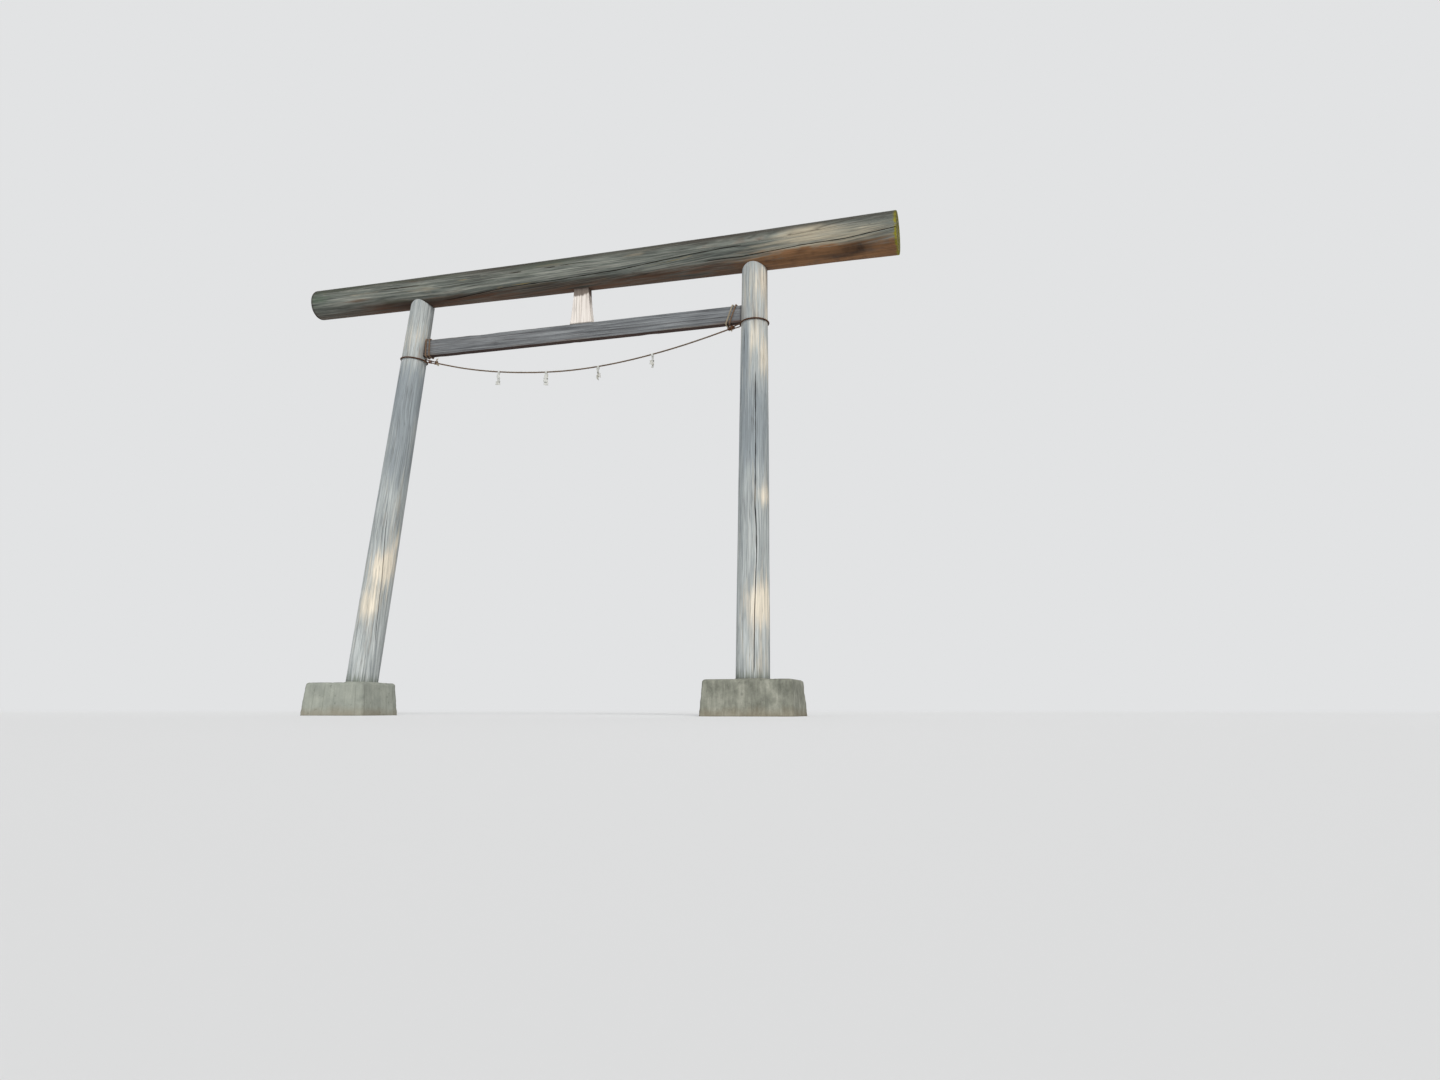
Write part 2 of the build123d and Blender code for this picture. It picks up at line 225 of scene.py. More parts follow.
class BeamSettings(PropertyGroup):
    """The whole log on top."""

    height: size("Axis Height", "Height of the log's axis at its ends", 3.384)
    thin_diameter: size("Thin Diameter", "Across the log at its left end", 0.244)
    butt_diameter: size("Butt Diameter", "Across the log at its right end", 0.314)
    even_taper: share("Even Taper", "Share of the taper that is even along the log", 0.65)
    sag: size("Sag", "How far the log's middle hangs under its ends", 0.010)
    edge: size("Worn Edge", "Radius of the worn edges of its ends", 0.007)
    rows: count("Rows", "Rows of points along the log", 470)
    columns: count("Columns", "Plain columns of points round the log", 112)
    light: colour("Light Grain", "Weathered grain that catches the light", 142, 144, 136)
    middle: colour("Middle Grain", "Grey of most of the log", 104, 109, 103)
    deep: colour("Deep Grain", "Grey between the ridges of the grain", 66, 69, 67)
    warm: colour("Warm Band", "Reddish brown where rain does not reach", 118, 89, 71)
    amber: colour("Amber Band", "Orange brown under the butt end", 146, 108, 76)
    moss: colour("Moss", "Green film on the shaded end", 88, 100, 88)
    pale: colour("Bleached", "Bleached patches", 176, 168, 148)
    lichen: colour("Lichen", "Yellow-green growth on the butt", 146, 140, 48)
    # Stains, and painted shade in the checks, under the log and on its top
    dark: colour("Stain", "Stains and the depth of the checks", 44, 33, 27)


class PostSettings(PropertyGroup):
    """The two leaning posts."""

    left_foot: size("Left Foot", "X of the left post's axis at its plinth's top", -1.780)
    right_foot: size("Right Foot", "X of the right post's axis at its plinth's top", 1.320)
    left_lean: slope("Left Lean", "How far the left post leans to the right", 6.9)
    right_lean: slope("Right Lean", "How far the right post leans to the right", 0.6)
    foot_diameter: size("Foot Diameter", "Across a post at its foot", 0.240)
    head_diameter: size("Head Diameter", "Across a post at the top beam's axis", 0.184)
    swell: size("Swell", "Greatest bulge over the straight taper", 0.002)
    buried: size("Buried", "How far the surface runs down into the plinth", 0.05)
    rows: count("Rows", "Rows of points up a post", 330)
    columns: count("Columns", "Plain columns of points round a post", 110)
    light: colour("Light Grain", "Bleached grain", 190, 195, 194)
    middle: colour("Middle Grain", "Silver grey of most of the post", 164, 170, 170)
    deep: colour("Deep Grain", "Grey between the ridges of the grain", 128, 134, 136)
    # Brown streaks, which near the head also carry painted shade on the flank turned from the light
    warm: colour("Warm Streak", "Brown streaks under the beams", 152, 134, 116)
    moss: colour("Moss", "Green film at the foot", 132, 140, 130)
    # Painted shade of trees: a deeper silver grey half way up the posts, which also varies at
    # random
    silver: colour("Silvered", "Deeper silver grey half way up", 150, 158, 162)
    # Bleached wood, and also the painted sunlit patches
    pale: colour("Bleached", "Cream stretches that rain and sun have bleached", 233, 224, 206)
    # Stains, and painted shade in the checks, in the seams at the head, foot and tie beam, and on
    # the shaded flank under the head
    dark: colour("Stain", "Stains and the depth of the checks", 52, 44, 40)


class TieSettings(PropertyGroup):
    """The squared tie beam."""

    edge: size("Worn Edge", "Radius of its worn edges", 0.005)
    hidden_end: size("Hidden End", "How far each end runs into its post", 0.045)
    rows: count("Rows", "Rows of points along it", 380)
    spacing: size("Spacing", "Distance between points round it", 0.0048)
    light: colour("Light Grain", "Weathered grain that catches the light", 144, 147, 149)
    middle: colour("Middle Grain", "Bluish grey of most of it", 113, 117, 120)
    deep: colour("Deep Grain", "Grey between the ridges of the grain", 76, 77, 80)
    warm: colour("Warm Band", "Brown of the sheltered underside", 84, 66, 60)
    pale: colour("Bleached", "Bleached patches", 150, 145, 136)
    # Stains, and painted shade in the cracks, at the posts and on the underside
    dark: colour("Stain", "Stains and cracks", 44, 36, 34)


class StrutSettings(PropertyGroup):
    """The flared strut between the beams."""

    middle_x: size("Middle", "X of its middle", -0.015)
    top_width: size("Top Width", "Width where it meets the log", 0.122)
    hollow: size("Hollow", "How far its sides curve in", 0.005)
    edge: size("Worn Edge", "Radius of its worn edges", 0.004)
    rows: count("Rows", "Rows of points up it", 84)
    spacing: size("Spacing", "Distance between points round it", 0.0035)
    light: colour("Light Grain", "Bright grain", 238, 233, 227)
    middle: colour("Middle Grain", "Cream of most of it", 224, 217, 210)
    deep: colour("Deep Grain", "Between the ridges of the grain", 184, 173, 163)
    # Brown under the log, and the log's painted shadow on the head
    warm: colour("Warm Head", "Brown under the log", 130, 120, 112)
    pale: colour("Bleached", "Bleached foot", 240, 233, 224)
    # Stains, and painted shade at the seams and under the log
    dark: colour("Stain", "Stains and cracks", 70, 56, 46)


class PlinthSettings(PropertyGroup):
    """The concrete blocks cast round the posts' feet."""

    batter: slope("Batter", "How far the sides slope inwards", 5.0)
    corner: size("Corner Radius", "Radius of the upright corners", 0.030)
    edge: size("Edge Radius", "Radius of the worn upper edge", 0.020)
    roughness: size("Roughness", "Height of the lumps of the surface", 0.0035)
    collar: size("Collar", "Height of the mortar trowelled up against the post", 0.012)
    board_width: size("Board Width", "Width of the boards of the mould", 0.095)
    spacing: size("Spacing", "Distance between points of the surface", 0.0066)
    light: colour("Light", "Dry cement", 158, 159, 147)
    middle: colour("Middle", "Grey-green of most of it", 130, 132, 121)
    deep: colour("Deep", "Pits and damp streaks", 98, 100, 91)
    # Painted light: the left block is drawn lighter all over, as if it stood in more light
    dry: colour("Dry Block", "Tone of the block that stands drier", 160, 166, 158)
    earth: colour("Earth", "Soil splashed up from the ground", 132, 119, 97)


class RopeSettings(PropertyGroup):
    """The ropes: a swag, a ring round each post, and turns round each end of the tie beam."""

    diameter: size("Diameter", "Across the rope over its strands", 0.012)
    lay: size("Lay", "Length in which a strand goes round once", 0.040)
    left_drop: size("Left Ring Drop", "How far the left ring lies under the tie beam", 0.023)
    right_drop: size("Right Ring Drop", "How far the right ring lies under the tie beam", 0.009)
    loop_corner: size("Loop Corner", "Radius of a turn's corners round the tie beam", 0.013)
    left_slant: slope("Left Slant", "How far the left turns lean along the beam", 0.0)
    right_slant: slope("Right Slant", "How far the right turns lean along the beam", 20.0)
    left_knot: size("Left Knot", "Length of the left knot", 0.128)
    right_knot: size("Right Knot", "Length of the right knot", 0.094)
    light: colour("Light Fibre", "Dry straw of the outer fibres", 148, 130, 108)
    middle: colour("Middle Fibre", "Brown grey of most of the rope", 108, 92, 76)
    deep: colour("Deep Fibre", "Between the fibres", 60, 48, 39)
    warm: colour("Sheltered Fibre", "Reddish brown of the rings and turns", 122, 86, 63)
    pale: colour("Frayed Fibre", "Pale straw of the frayed ends", 196, 186, 162)
    # Dirt, and painted shade where the strands meet
    dark: colour("Grime", "Grime between the strands", 34, 25, 20)


class PaperSettings(PropertyGroup):
    """The folded paper streamers."""

    thickness: size("Thickness", "Thickness of the paper", 0.0006)
    tab_width: size("Tab Width", "Width of the tab that holds it to the rope", 0.018)
    tab_length: size("Tab Length", "Length of the tab under the rope", 0.016)
    panel_width: size("Panel Width", "Width of each panel of the zigzag", 0.034)
    panel_height: size("Panel Height", "Height of each panel of the zigzag", 0.030)
    panel_step: size("Panel Step", "How far each panel steps sideways", 0.011)
    panel_slope: size("Panel Slope", "Fall of a panel's upper edge", 0.005)
    white: colour("White", "Clean paper", 188, 189, 185)
    soiled: colour("Soiled", "Water marks", 158, 155, 143)


class StageSettings(PropertyGroup):
    """Camera, floor, background and lamps."""

    camera_place: FloatVectorProperty(
        name="Camera Place", description="Where the camera stands",
        default=(2.991, -6.738, 0.049), subtype="TRANSLATION", unit="LENGTH")
    camera_turn: slope("Camera Turn", "How far the camera looks to the left", 15.79)
    camera_tilt: slope("Camera Tilt", "How far the camera looks up", 9.58)
    lens: FloatProperty(name="Lens", description="Focal length", default=25.02, unit="CAMERA")
    floor_radius: size("Floor Radius", "Radius of the floor", 60.0)
    floor: colour("Floor", "Pale floor", 217, 218, 219)
    backdrop: colour("Backdrop", "Pale background", 226, 227, 228)
    surround_light: share("Surround Light", "Strength of the light from all round", 0.36)


class GateSettings(PropertyGroup):
    """Everything that can be changed on the gate."""

    beam: PointerProperty(type=BeamSettings, name="Top Beam", description="The log on top")
    posts: PointerProperty(type=PostSettings, name="Posts", description="The two posts")
    tie: PointerProperty(type=TieSettings, name="Tie Beam", description="The squared beam")
    strut: PointerProperty(type=StrutSettings, name="Strut", description="Between the beams")
    plinths: PointerProperty(type=PlinthSettings, name="Plinths", description="The concrete")
    rope: PointerProperty(type=RopeSettings, name="Rope", description="All the ropes")
    paper: PointerProperty(type=PaperSettings, name="Paper", description="The streamers")
    stage: PointerProperty(type=StageSettings, name="Stage", description="Camera and lamps")


def smooth_step(low, high, value):
    """0 below low and 1 above high, with t*t*(3 - 2t) between; low may be the greater."""
    t = np.clip((value - low) / (high - low), 0, 1)
    return t * t * (3 - 2 * t)


def spot(value, middle, reach):
    """A soft bump: e to the minus of the squared distance from the middle, in reaches."""
    return np.exp(-(((value - middle) / reach) ** 2))


def lattice_noise(points, seed):
    """Smooth noise about 0. Each corner of a unit lattice has a seeded slope, and the heights that
    the eight slopes give a point are blended by t*t*t*(t*(6t - 15) + 10) along each axis."""
    draws = np.random.default_rng(seed)
    order = draws.permutation(256)
    slopes = unit(draws.normal(size=(256, 3)))
    cell = np.floor(points).astype(int)
    offset = points - cell
    blend = offset**3 * (offset * (6 * offset - 15) + 10)
    total = np.zeros(points.shape[:-1])
    for corner in np.ndindex(2, 2, 2):
        pick = 0
        for axis in range(3):
            pick = order[(pick + cell[..., axis] + corner[axis]) % 256]
        weight = np.where(np.array(corner) == 1, blend, 1 - blend).prod(-1)
        total += weight * (slopes[pick] * (offset - corner)).sum(-1)
    return total


def layered_noise(points, stretch, seed, layers=3):
    """Noise of points times the stretch, plus layers twice as fine and half as strong each."""
    points = points * np.array(stretch)
    return sum(
        lattice_noise(points * 2**layer, seed + layer) / 2**layer for layer in range(layers))


def unit(vectors):
    """The vectors at unit length."""
    return vectors / np.linalg.norm(vectors, axis=-1, keepdims=True)


def square_to(vectors, heading):
    """The part of the vectors that is square to the heading, at unit length."""
    return unit(vectors - (vectors * heading).sum(-1, keepdims=True) * heading)


def across_heading(heading, hint):
    """Two unit vectors square to the heading and to each other, the first also to the hint."""
    first = unit(np.cross(heading, hint))
    return first, np.cross(heading, first)


def circle(first, second, turn):
    """The first vector times the turn's cosine plus the second times its sine."""
    return first * np.cos(turn)[..., None] + second * np.sin(turn)[..., None]


def points_from(x, y, z):
    """Points from three coordinates, each spread to the shape that the three share."""
    return np.stack(np.broadcast_arrays(x, y, z), -1)


def length_up_to(line):
    """The length of a line up to each of its points."""
    return np.concatenate([[0], np.cumsum(np.linalg.norm(np.diff(line, axis=0), axis=1))])


def evenly_along(line, step):
    """The line again with its points about a step apart, and the length up to each of them."""
    lengths = length_up_to(line)
    at = np.linspace(0, lengths[-1], int(round(lengths[-1] / step)) + 1)
    return np.stack([np.interp(at, lengths, line[:, axis]) for axis in range(3)], -1), at


def directions_along(line, closed=False):
    """A line's direction at each of its points, from the points before and after it."""
    steps = np.roll(line, -1, 0) - np.roll(line, 1, 0) if closed else np.gradient(line, axis=0)
    return unit(steps)


def add_object(name, data):
    """A new object at the origin, linked into the scene."""
    made = bpy.data.objects.new(name, data)
    bpy.context.collection.objects.link(made)
    return made


class Shape:
    """Rings of points gathered into one mesh, with a value for each mask at each point."""

    def __init__(self):
        self.points = []
        self.faces = []
        self.masks = {}
        self.total = 0

    def add_rings(self, rings, wrap_rows=False, **masks):
        """Adds a grid of rows by columns whose columns close round it. Its rows close too if
        wrap_rows is set, and otherwise each end is closed by a fan to its middle."""
        rows, columns = rings.shape[:2]
        index = np.arange(rows * columns).reshape(rows, columns)
        below, above = (index, np.roll(index, -1, 0)) if wrap_rows else (index[:-1], index[1:])
        quads = np.stack([below, np.roll(below, -1, 1), np.roll(above, -1, 1), above], -1)
        quads = quads.reshape(-1, 4)
        faces = [quads]
        points = rings.reshape(-1, 3)
        if not wrap_rows:
            points = np.concatenate([points, rings[:1].mean(1), rings[-1:].mean(1)])
            first, last = index[0], index[-1]
            fans = ((np.roll(first, -1), first), (last, np.roll(last, -1)))
            for middle, (near, far) in enumerate(fans, start=index.size):
                faces.append(np.stack([near, far, np.full(columns, middle)], -1))
        corners = points[quads] - points.mean(0)
        volume = sum(
            (corners[:, 0] * np.cross(corners[:, side], corners[:, side + 1])).sum()
            for side in (1, 2))
        turn = 1 if volume > 0 else -1
        for part in faces:
            self.faces += (part[:, ::turn] + self.total).tolist()
        for name in {**self.masks, **masks}:
            width = (3,) if name == "grain" else ()
            values = np.broadcast_to(masks.get(name, 0.0), (rows, columns, *width))
            values = values.reshape(-1, *width)
            if not wrap_rows:
                values = np.concatenate([values, values[:1], values[-1:]])
            self.masks.setdefault(name, [np.zeros((self.total, *width))]).append(values)
        self.points.append(points)
        self.total += len(points)

    def finish(self, name, material, slot, *nodes):
        """Makes the object, which stands for the CAD nodes named and rides on the gate's body."""
        mesh = bpy.data.meshes.new(name)
        mesh.from_pydata(np.concatenate(self.points), [], self.faces)
        mesh.shade_smooth()
        for mask, parts in self.masks.items():
            values = np.concatenate(parts).astype(np.float32)
            kind, key = ("FLOAT_VECTOR", "vector") if values.ndim == 2 else ("FLOAT", "value")
            mesh.attributes.new(mask, kind, "POINT").data.foreach_set(key, values.ravel())
        mesh.materials.append(material)
        made = add_object(name, mesh)
        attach(made, BODY)
        if nodes:
            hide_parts(*nodes)
        return made


def make_piece(rings, name, material, slot, node, **masks):
    """Makes the object of a single closed grid of points, which stands for one CAD node."""
    shape = Shape()
    shape.add_rings(rings, **masks)
    shape.finish(name, material, slot, node)


def add_node(tree, kind, output=0, values=(), **settings):
    """Adds a node whose inputs get the values or are linked to them. Gives back an output."""
    node = tree.nodes.new(kind)
    for key, value in settings.items():
        setattr(node, key, value)
    for key, value in dict(values).items():
        if isinstance(value, NodeSocket):
            tree.links.new(value, node.inputs[key])
        else:
            node.inputs[key].default_value = value
    return node.outputs[output]


class Recipe:
    """A material's nodes. Each method adds some and gives back the socket that holds the result."""

    def __init__(self, name, roughness, specular):
        self.material = bpy.data.materials.new(name)
        self.material.use_nodes = True
        self.tree = self.material.node_tree
        self.shader = self.tree.nodes["Principled BSDF"]
        self.shader.inputs["Roughness"].default_value = roughness
        self.shader.inputs["Specular IOR Level"].default_value = specular

    def add(self, kind, output=0, values=(), **settings):
        return add_node(self.tree, kind, output, values, **settings)

    def attribute(self, name, output="Fac"):
        return self.add("ShaderNodeAttribute", output, attribute_name=name)

    def object_place(self):
        return self.add("ShaderNodeTexCoord", "Object")

    def noise(self, place, stretch, detail=3, roughness=0.55, warp=0.0):
        """Noise of the place times the stretch, from 0 to 1."""
        moved = self.add("ShaderNodeMapping", "Vector", {"Vector": place, "Scale": stretch})
        return self.add("ShaderNodeTexNoise", "Fac", {
            "Vector": moved, "Scale": 1.0, "Detail": detail, "Roughness": roughness,
            "Distortion": warp})

    def math(self, operation, first, second=0.0):
        return self.add("ShaderNodeMath", 0, {0: first, 1: second}, operation=operation)

    def weighted(self, *parts):
        """The sum of values, each times its weight."""
        total = None
        for value, weight in parts:
            value = value if weight == 1 else self.math("MULTIPLY", value, weight)
            total = value if total is None else self.math("ADD", total, value)
        return total

    def length(self, vector):
        return self.add("ShaderNodeVectorMath", "Value", {0: vector}, operation="LENGTH")

    def span(self, value, low, high, to_low=0.0, to_high=1.0):
        """The value between low and high, spread over another span, and held at its ends."""
        return self.add("ShaderNodeMapRange", "Result", {
            "Value": value, "From Min": low, "From Max": high, "To Min": to_low,
            "To Max": to_high})

    def ramp(self, value, *stops):
        """Colours at stops along a value, blended between them."""
        socket = self.add("ShaderNodeValToRGB", "Color", {"Fac": value})
        elements = socket.node.color_ramp.elements
        while len(elements) < len(stops):
            elements.new(0.5)
        for element, (position, rgb) in zip(elements, stops):
            element.position = position
            element.color = (*rgb, 1)
        return socket

    def mix(self, factor, first, second, blend="MIX"):
        """Two colours mixed: the second's share is the factor."""
        first, second = (
            value if isinstance(value, NodeSocket) else (*value, 1) for value in (first, second))
        return self.add("ShaderNodeMix", 2, {0: factor, 6: first, 7: second},
                        data_type="RGBA", blend_type=blend)

    def two_tone(self, factor, rgb, depth):
        """A colour that the depth darkens where the factor is low."""
        return self.mix(factor, tuple(depth * part for part in rgb), rgb)

    def speckle(self, shade, value, low, high):
        """The shade made darker and lighter, from low to high, where the value changes."""
        fine = self.span(value, 0.3, 0.7, low, high)
        grey = self.add("ShaderNodeCombineColor", 0, {0: fine, 1: fine, 2: fine})
        return self.mix(1.0, shade, grey, "MULTIPLY")

    def threads(self, noise, fineness):
        """Long thin lines, where stretched noise crosses its middle value."""
        crossing = self.math("ABSOLUTE", self.math("SUBTRACT", noise, 0.5))
        return self.span(crossing, fineness, 0.0)

    def finish(self, shade, height, depth, strength, roughness=None):
        """Links the colour, a bump as high as the depth, and the roughness if there is one."""
        bump = self.add("ShaderNodeBump", "Normal", {
            "Height": height, "Distance": depth, "Strength": strength})
        self.tree.links.new(shade, self.shader.inputs["Base Color"])
        self.tree.links.new(bump, self.shader.inputs["Normal"])
        if roughness is not None:
            self.tree.links.new(roughness, self.shader.inputs["Roughness"])
        return self.material


def timber_material(name, settings, coarse=1.0, extra_tones=(), end_grain=False):
    """Weathered wood. Ridges, streaks and hairline cracks run along the grain, which is the z of
    the grain attribute. The masks bring in warm and bleached places, stains, moss, lichen and
    other tones, and with them painted shade and painted sunlit patches."""
    recipe = Recipe(name, 0.85, 0.12)
    grain = recipe.attribute("grain", "Vector")

    def wood_noise(across, along, *looks):
        return recipe.noise(grain, (across * coarse, across * coarse, along), *looks)

    broad = wood_noise(9, 1.3, 4)
    streak = wood_noise(75, 1.9, 5, 0.6, 0.2)
    band = wood_noise(150, 2.6, 4, 0.65, 0.1)
    fibre = wood_noise(380, 5, 3, 0.6)
    patches = wood_noise(30, 3.2, 5, 0.65)
    weave = recipe.weighted((broad, 0.20), (streak, 0.35), (band, 0.45))
    shade = recipe.ramp(
        weave, (0.395, settings.deep), (0.49, settings.middle), (0.585, settings.light))
    shade = recipe.speckle(shade, fibre, 0.76, 1.14)
    for number, mask in enumerate(("pale", "warm", *extra_tones)):
        turned = streak if number % 2 else recipe.math("SUBTRACT", 1.0, streak)
        broken = recipe.weighted((turned, 1.5), (patches, 1.2))
        amount = recipe.math("SUBTRACT", recipe.math("ADD", recipe.attribute(mask), broken), 1.35)
        own = recipe.two_tone(recipe.span(band, 0.35, 0.62), getattr(settings, mask), 0.64)
        shade = recipe.mix(recipe.span(amount, 0.30, 0.85), shade, own)
    open_here = recipe.span(wood_noise(5, 1.1, 2), 0.46, 0.60)
    cracks = recipe.math("MULTIPLY", recipe.threads(wood_noise(26, 0.55, 2), 0.009), open_here)
    hairlines = recipe.math("MULTIPLY", recipe.threads(wood_noise(96, 1.1, 2), 0.024), 0.55)
    cracks = recipe.math("MAXIMUM", cracks, hairlines)
    shade = recipe.mix(recipe.math("MULTIPLY", cracks, 0.75), shade, settings.dark)
    if end_grain:
        flat = recipe.add("ShaderNodeVectorMath", 0, {0: grain, 1: (1, 1, 0)}, operation="MULTIPLY")
        wander = recipe.noise(grain, (11, 11, 1), 4, 0.6)
        rings = recipe.math("SINE", recipe.weighted((recipe.length(flat), 1150.0), (wander, 22.0)))
        worn = recipe.span(patches, 0.3, 0.6, 0.15, 0.9)
        rings = recipe.math("MULTIPLY", recipe.span(rings, -0.2, 1.0), worn)
        shade = recipe.mix(
            recipe.attribute("end"), shade, recipe.mix(rings, shade, settings.deep))
    # The dark mask holds stains and painted shade
    stain_and_shade = recipe.span(recipe.attribute("dark"), 0.0, 1.0, 0.0, 0.94)
    shade = recipe.mix(stain_and_shade, shade, settings.dark)
    height = recipe.weighted((band, 0.7), (fibre, 0.35), (cracks, -0.8))
    return recipe.finish(shade, height, 0.0016, 0.9, recipe.span(streak, 0.3, 0.7, 0.95, 0.72))


def rope_material(name, settings):
    """Natural fibre: fine fibres run along each strand, with dirt and painted shade where the
    strands meet.
    """
    recipe = Recipe(name, 0.9, 0.15)
    grain = recipe.attribute("grain", "Vector")
    fibre = recipe.noise(grain, (900, 900, 22), 3, 0.6)
    patches = recipe.noise(grain, (60, 60, 9), 3)
    shade = recipe.ramp(fibre, (0.32, settings.deep), (0.5, settings.middle), (0.7, settings.light))
    sheltered = recipe.two_tone(recipe.span(fibre, 0.3, 0.7), settings.warm, 0.5)
    amount = recipe.weighted((recipe.attribute("warm"), 1), (patches, -0.25))
    shade = recipe.mix(recipe.span(amount, 0.0, 0.7), shade, sheltered)
    frayed = recipe.two_tone(recipe.span(fibre, 0.35, 0.6), settings.pale, 0.7)
    shade = recipe.mix(recipe.attribute("pale"), shade, frayed)
    shade = recipe.mix(recipe.attribute("dark"), shade, settings.dark)
    return recipe.finish(shade, fibre, 0.0006, 0.8)


def concrete_material(name, settings):
    """Hand-cast cement: mottled, streaked down its sides, pitted, and splashed with soil below."""
    recipe = Recipe(name, 0.9, 0.25)
    spread = recipe.object_place()
    cloud = recipe.noise(spread, (9, 9, 7), 5, 0.6)
    streak = recipe.noise(spread, (46, 46, 3.5), 4, 0.6)
    grit = recipe.noise(spread, (420, 420, 420), 2, 0.7)
    lumps = recipe.noise(spread, (90, 90, 90), 4, 0.7)
    weave = recipe.weighted((cloud, 0.70), (streak, 0.30))
    shade = recipe.ramp(
        weave, (0.36, settings.deep), (0.5, settings.middle), (0.64, settings.light))
    shade = recipe.speckle(shade, grit, 0.74, 1.16)
    # Painted light: the left block is lightened
    shade = recipe.mix(recipe.math("MULTIPLY", recipe.attribute("dry"), 0.5), shade, settings.dry)
    pitted = recipe.span(recipe.attribute("pits"), 0.1, 1.0, 0.0, 0.6)
    shade = recipe.mix(pitted, shade, settings.deep)
    amount = recipe.weighted((recipe.attribute("earth"), 1), (cloud, -1.3))
    shade = recipe.mix(recipe.span(amount, -0.35, 0.35, 0.0, 0.5), shade, settings.earth)
    return recipe.finish(shade, recipe.weighted((grit, 0.5), (lumps, 1)), 0.0025, 0.8)


def paper_material(name, settings):
    """Matt white paper with water marks and small creases."""
    recipe = Recipe(name, 0.75, 0.2)
    spread = recipe.object_place()
    marks = recipe.noise(spread, (38, 38, 22), 4, 0.6)
    creases = recipe.noise(spread, (120, 120, 90), 2, 0.5)
    shade = recipe.ramp(marks, (0.50, settings.white), (0.68, settings.soiled))
    return recipe.finish(shade, creases, 0.002, 0.6)


def beam_radius(gate, x):
    """Straight taper plus a share that grows with the square of the place along the log."""
    beam = gate.beam
    along = (x - BEAM_LOW.x) / BEAM_LENGTH
    growth = beam.even_taper * along + (1 - beam.even_taper) * along**2
    return (beam.thin_diameter + (beam.butt_diameter - beam.thin_diameter) * growth) / 2


def beam_height(gate, x):
    """The axis hangs in half a sine wave between the log's ends."""
    return gate.beam.height - gate.beam.sag * np.sin(math.pi * ((x - BEAM_LOW.x) / BEAM_LENGTH))


def beam_points(gate, x, radius, angle):
    """Points round the log's axis; the angle is 0 in front and a quarter turn on top."""
    return points_from(
        x, -radius * np.cos(angle), beam_height(gate, x) + radius * np.sin(angle))


def post_foot(gate, side):
    """X of a post's axis at the top of its plinth, and its lean."""
    return getattr(gate.posts, f"{side}_foot"), getattr(gate.posts, f"{side}_lean")


def reach_to(gate, side, height):
    """How far along a post's axis a height lies over the top of the plinth."""
    return (height - PLINTH_TOP) / math.cos(post_foot(gate, side)[1])


def post_radius(gate, side, reach):
    """Straight taper up the post, and a parabola of swell that is greatest half way up."""
    posts = gate.posts
    up = reach * math.cos(post_foot(gate, side)[1]) / (gate.beam.height - PLINTH_TOP)
    across = posts.foot_diameter + (posts.head_diameter - posts.foot_diameter) * up
    return across / 2 + 4 * posts.swell * up * (1 - up)


def post_points(gate, side, reach, radius, angle):
    """Points round a leaning axis; the angle is 0 in front and a quarter turn at +X."""
    foot_x, lean = post_foot(gate, side)
    across = radius * np.sin(angle)
    x = foot_x + reach * math.sin(lean) + across * math.cos(lean)
    z = PLINTH_TOP + reach * math.cos(lean) - across * math.sin(lean)
    return points_from(x, -radius * np.cos(angle), z)


def post_face(gate, side, height):
    """X of the inner side of a post at a height."""
    foot_x, lean = post_foot(gate, side)
    reach = reach_to(gate, side, height)
    inward = 1 if side == "left" else -1
    return foot_x + reach * math.sin(lean) + inward * post_radius(gate, side, reach)


def values_under_beam(gate, surface, shape, low, high, sunk):
    """The values between low and high at which surface(values) meets the log's underside, sunk
    into it by that much, found by halving the span for all of them at once."""
    low, high = np.full(shape, low), np.full(shape, high)
    for _ in range(HALVINGS):
        middle = (low + high) / 2
        x, y, z = np.moveaxis(surface(middle), -1, 0)
        away = np.hypot(y, z - beam_height(gate, x)) - beam_radius(gate, x) + sunk
        low, high = np.where(away > 0, middle, low), np.where(away > 0, high, middle)
    return (low + high) / 2


def half_turn(angle):
    """The angle brought to between minus and plus half a turn."""
    return (angle + math.pi) % TURN - math.pi


def log_columns(checks, along, plain, radius):
    """Angles of the columns round a log at each place along it: evenly spread columns, and nine
    more at each check. All turn with the checks' paths, shared out in proportion between them.
    Gives back the angles, the columns' angles before turning, and the paths."""
    paths = []
    for check in checks:
        places, degrees = np.transpose(check.path)
        paths.append(np.interp(along, places, np.radians(degrees)))
    homes = np.array([path.mean() for path in paths])
    widths = np.array([check.width for check in checks]) / radius
    beside = homes[:, None] + widths[:, None] * CHECK_COLUMNS
    even = np.arange(plain) * TURN / plain
    apart = np.abs(half_turn(even[:, None] - homes))
    even = even[(apart > 4 * widths + 0.3 * (math.pi / plain)).all(1)]
    columns = np.sort(np.concatenate([even, *beside]) % TURN)
    turning = np.zeros((len(along), len(columns)))
    for home, path, pick in zip(homes, paths, np.eye(len(checks))):
        turning += (path - home)[:, None] * np.interp(columns, homes, pick, period=TURN)
    return columns + turning, np.broadcast_to(columns, turning.shape), paths


def check_grooves(checks, paths, along, angles, radius, seed):
    """Depth of the drying checks: a V across each path, as wide as the check, whose width wanders
    and which closes over a hand's breadth at its ends."""
    depth = np.zeros_like(angles)
    closing = 0.12
    for number, (check, path) in enumerate(zip(checks, paths)):
        away = np.abs(half_turn(angles - path[:, None])) * radius
        wander = lattice_noise(points_from(along * 9, 0, number), seed)
        width = check.width * (1 + 0.7 * wander)[:, None]
        opened = smooth_step(check.start, check.start + closing, along)
        opened = opened * smooth_step(check.end, check.end - closing, along)
        groove = np.clip(1 - away / width, 0, 1) ** 0.8 * opened[:, None]
        depth = np.maximum(depth, check.depth * groove)
    return depth


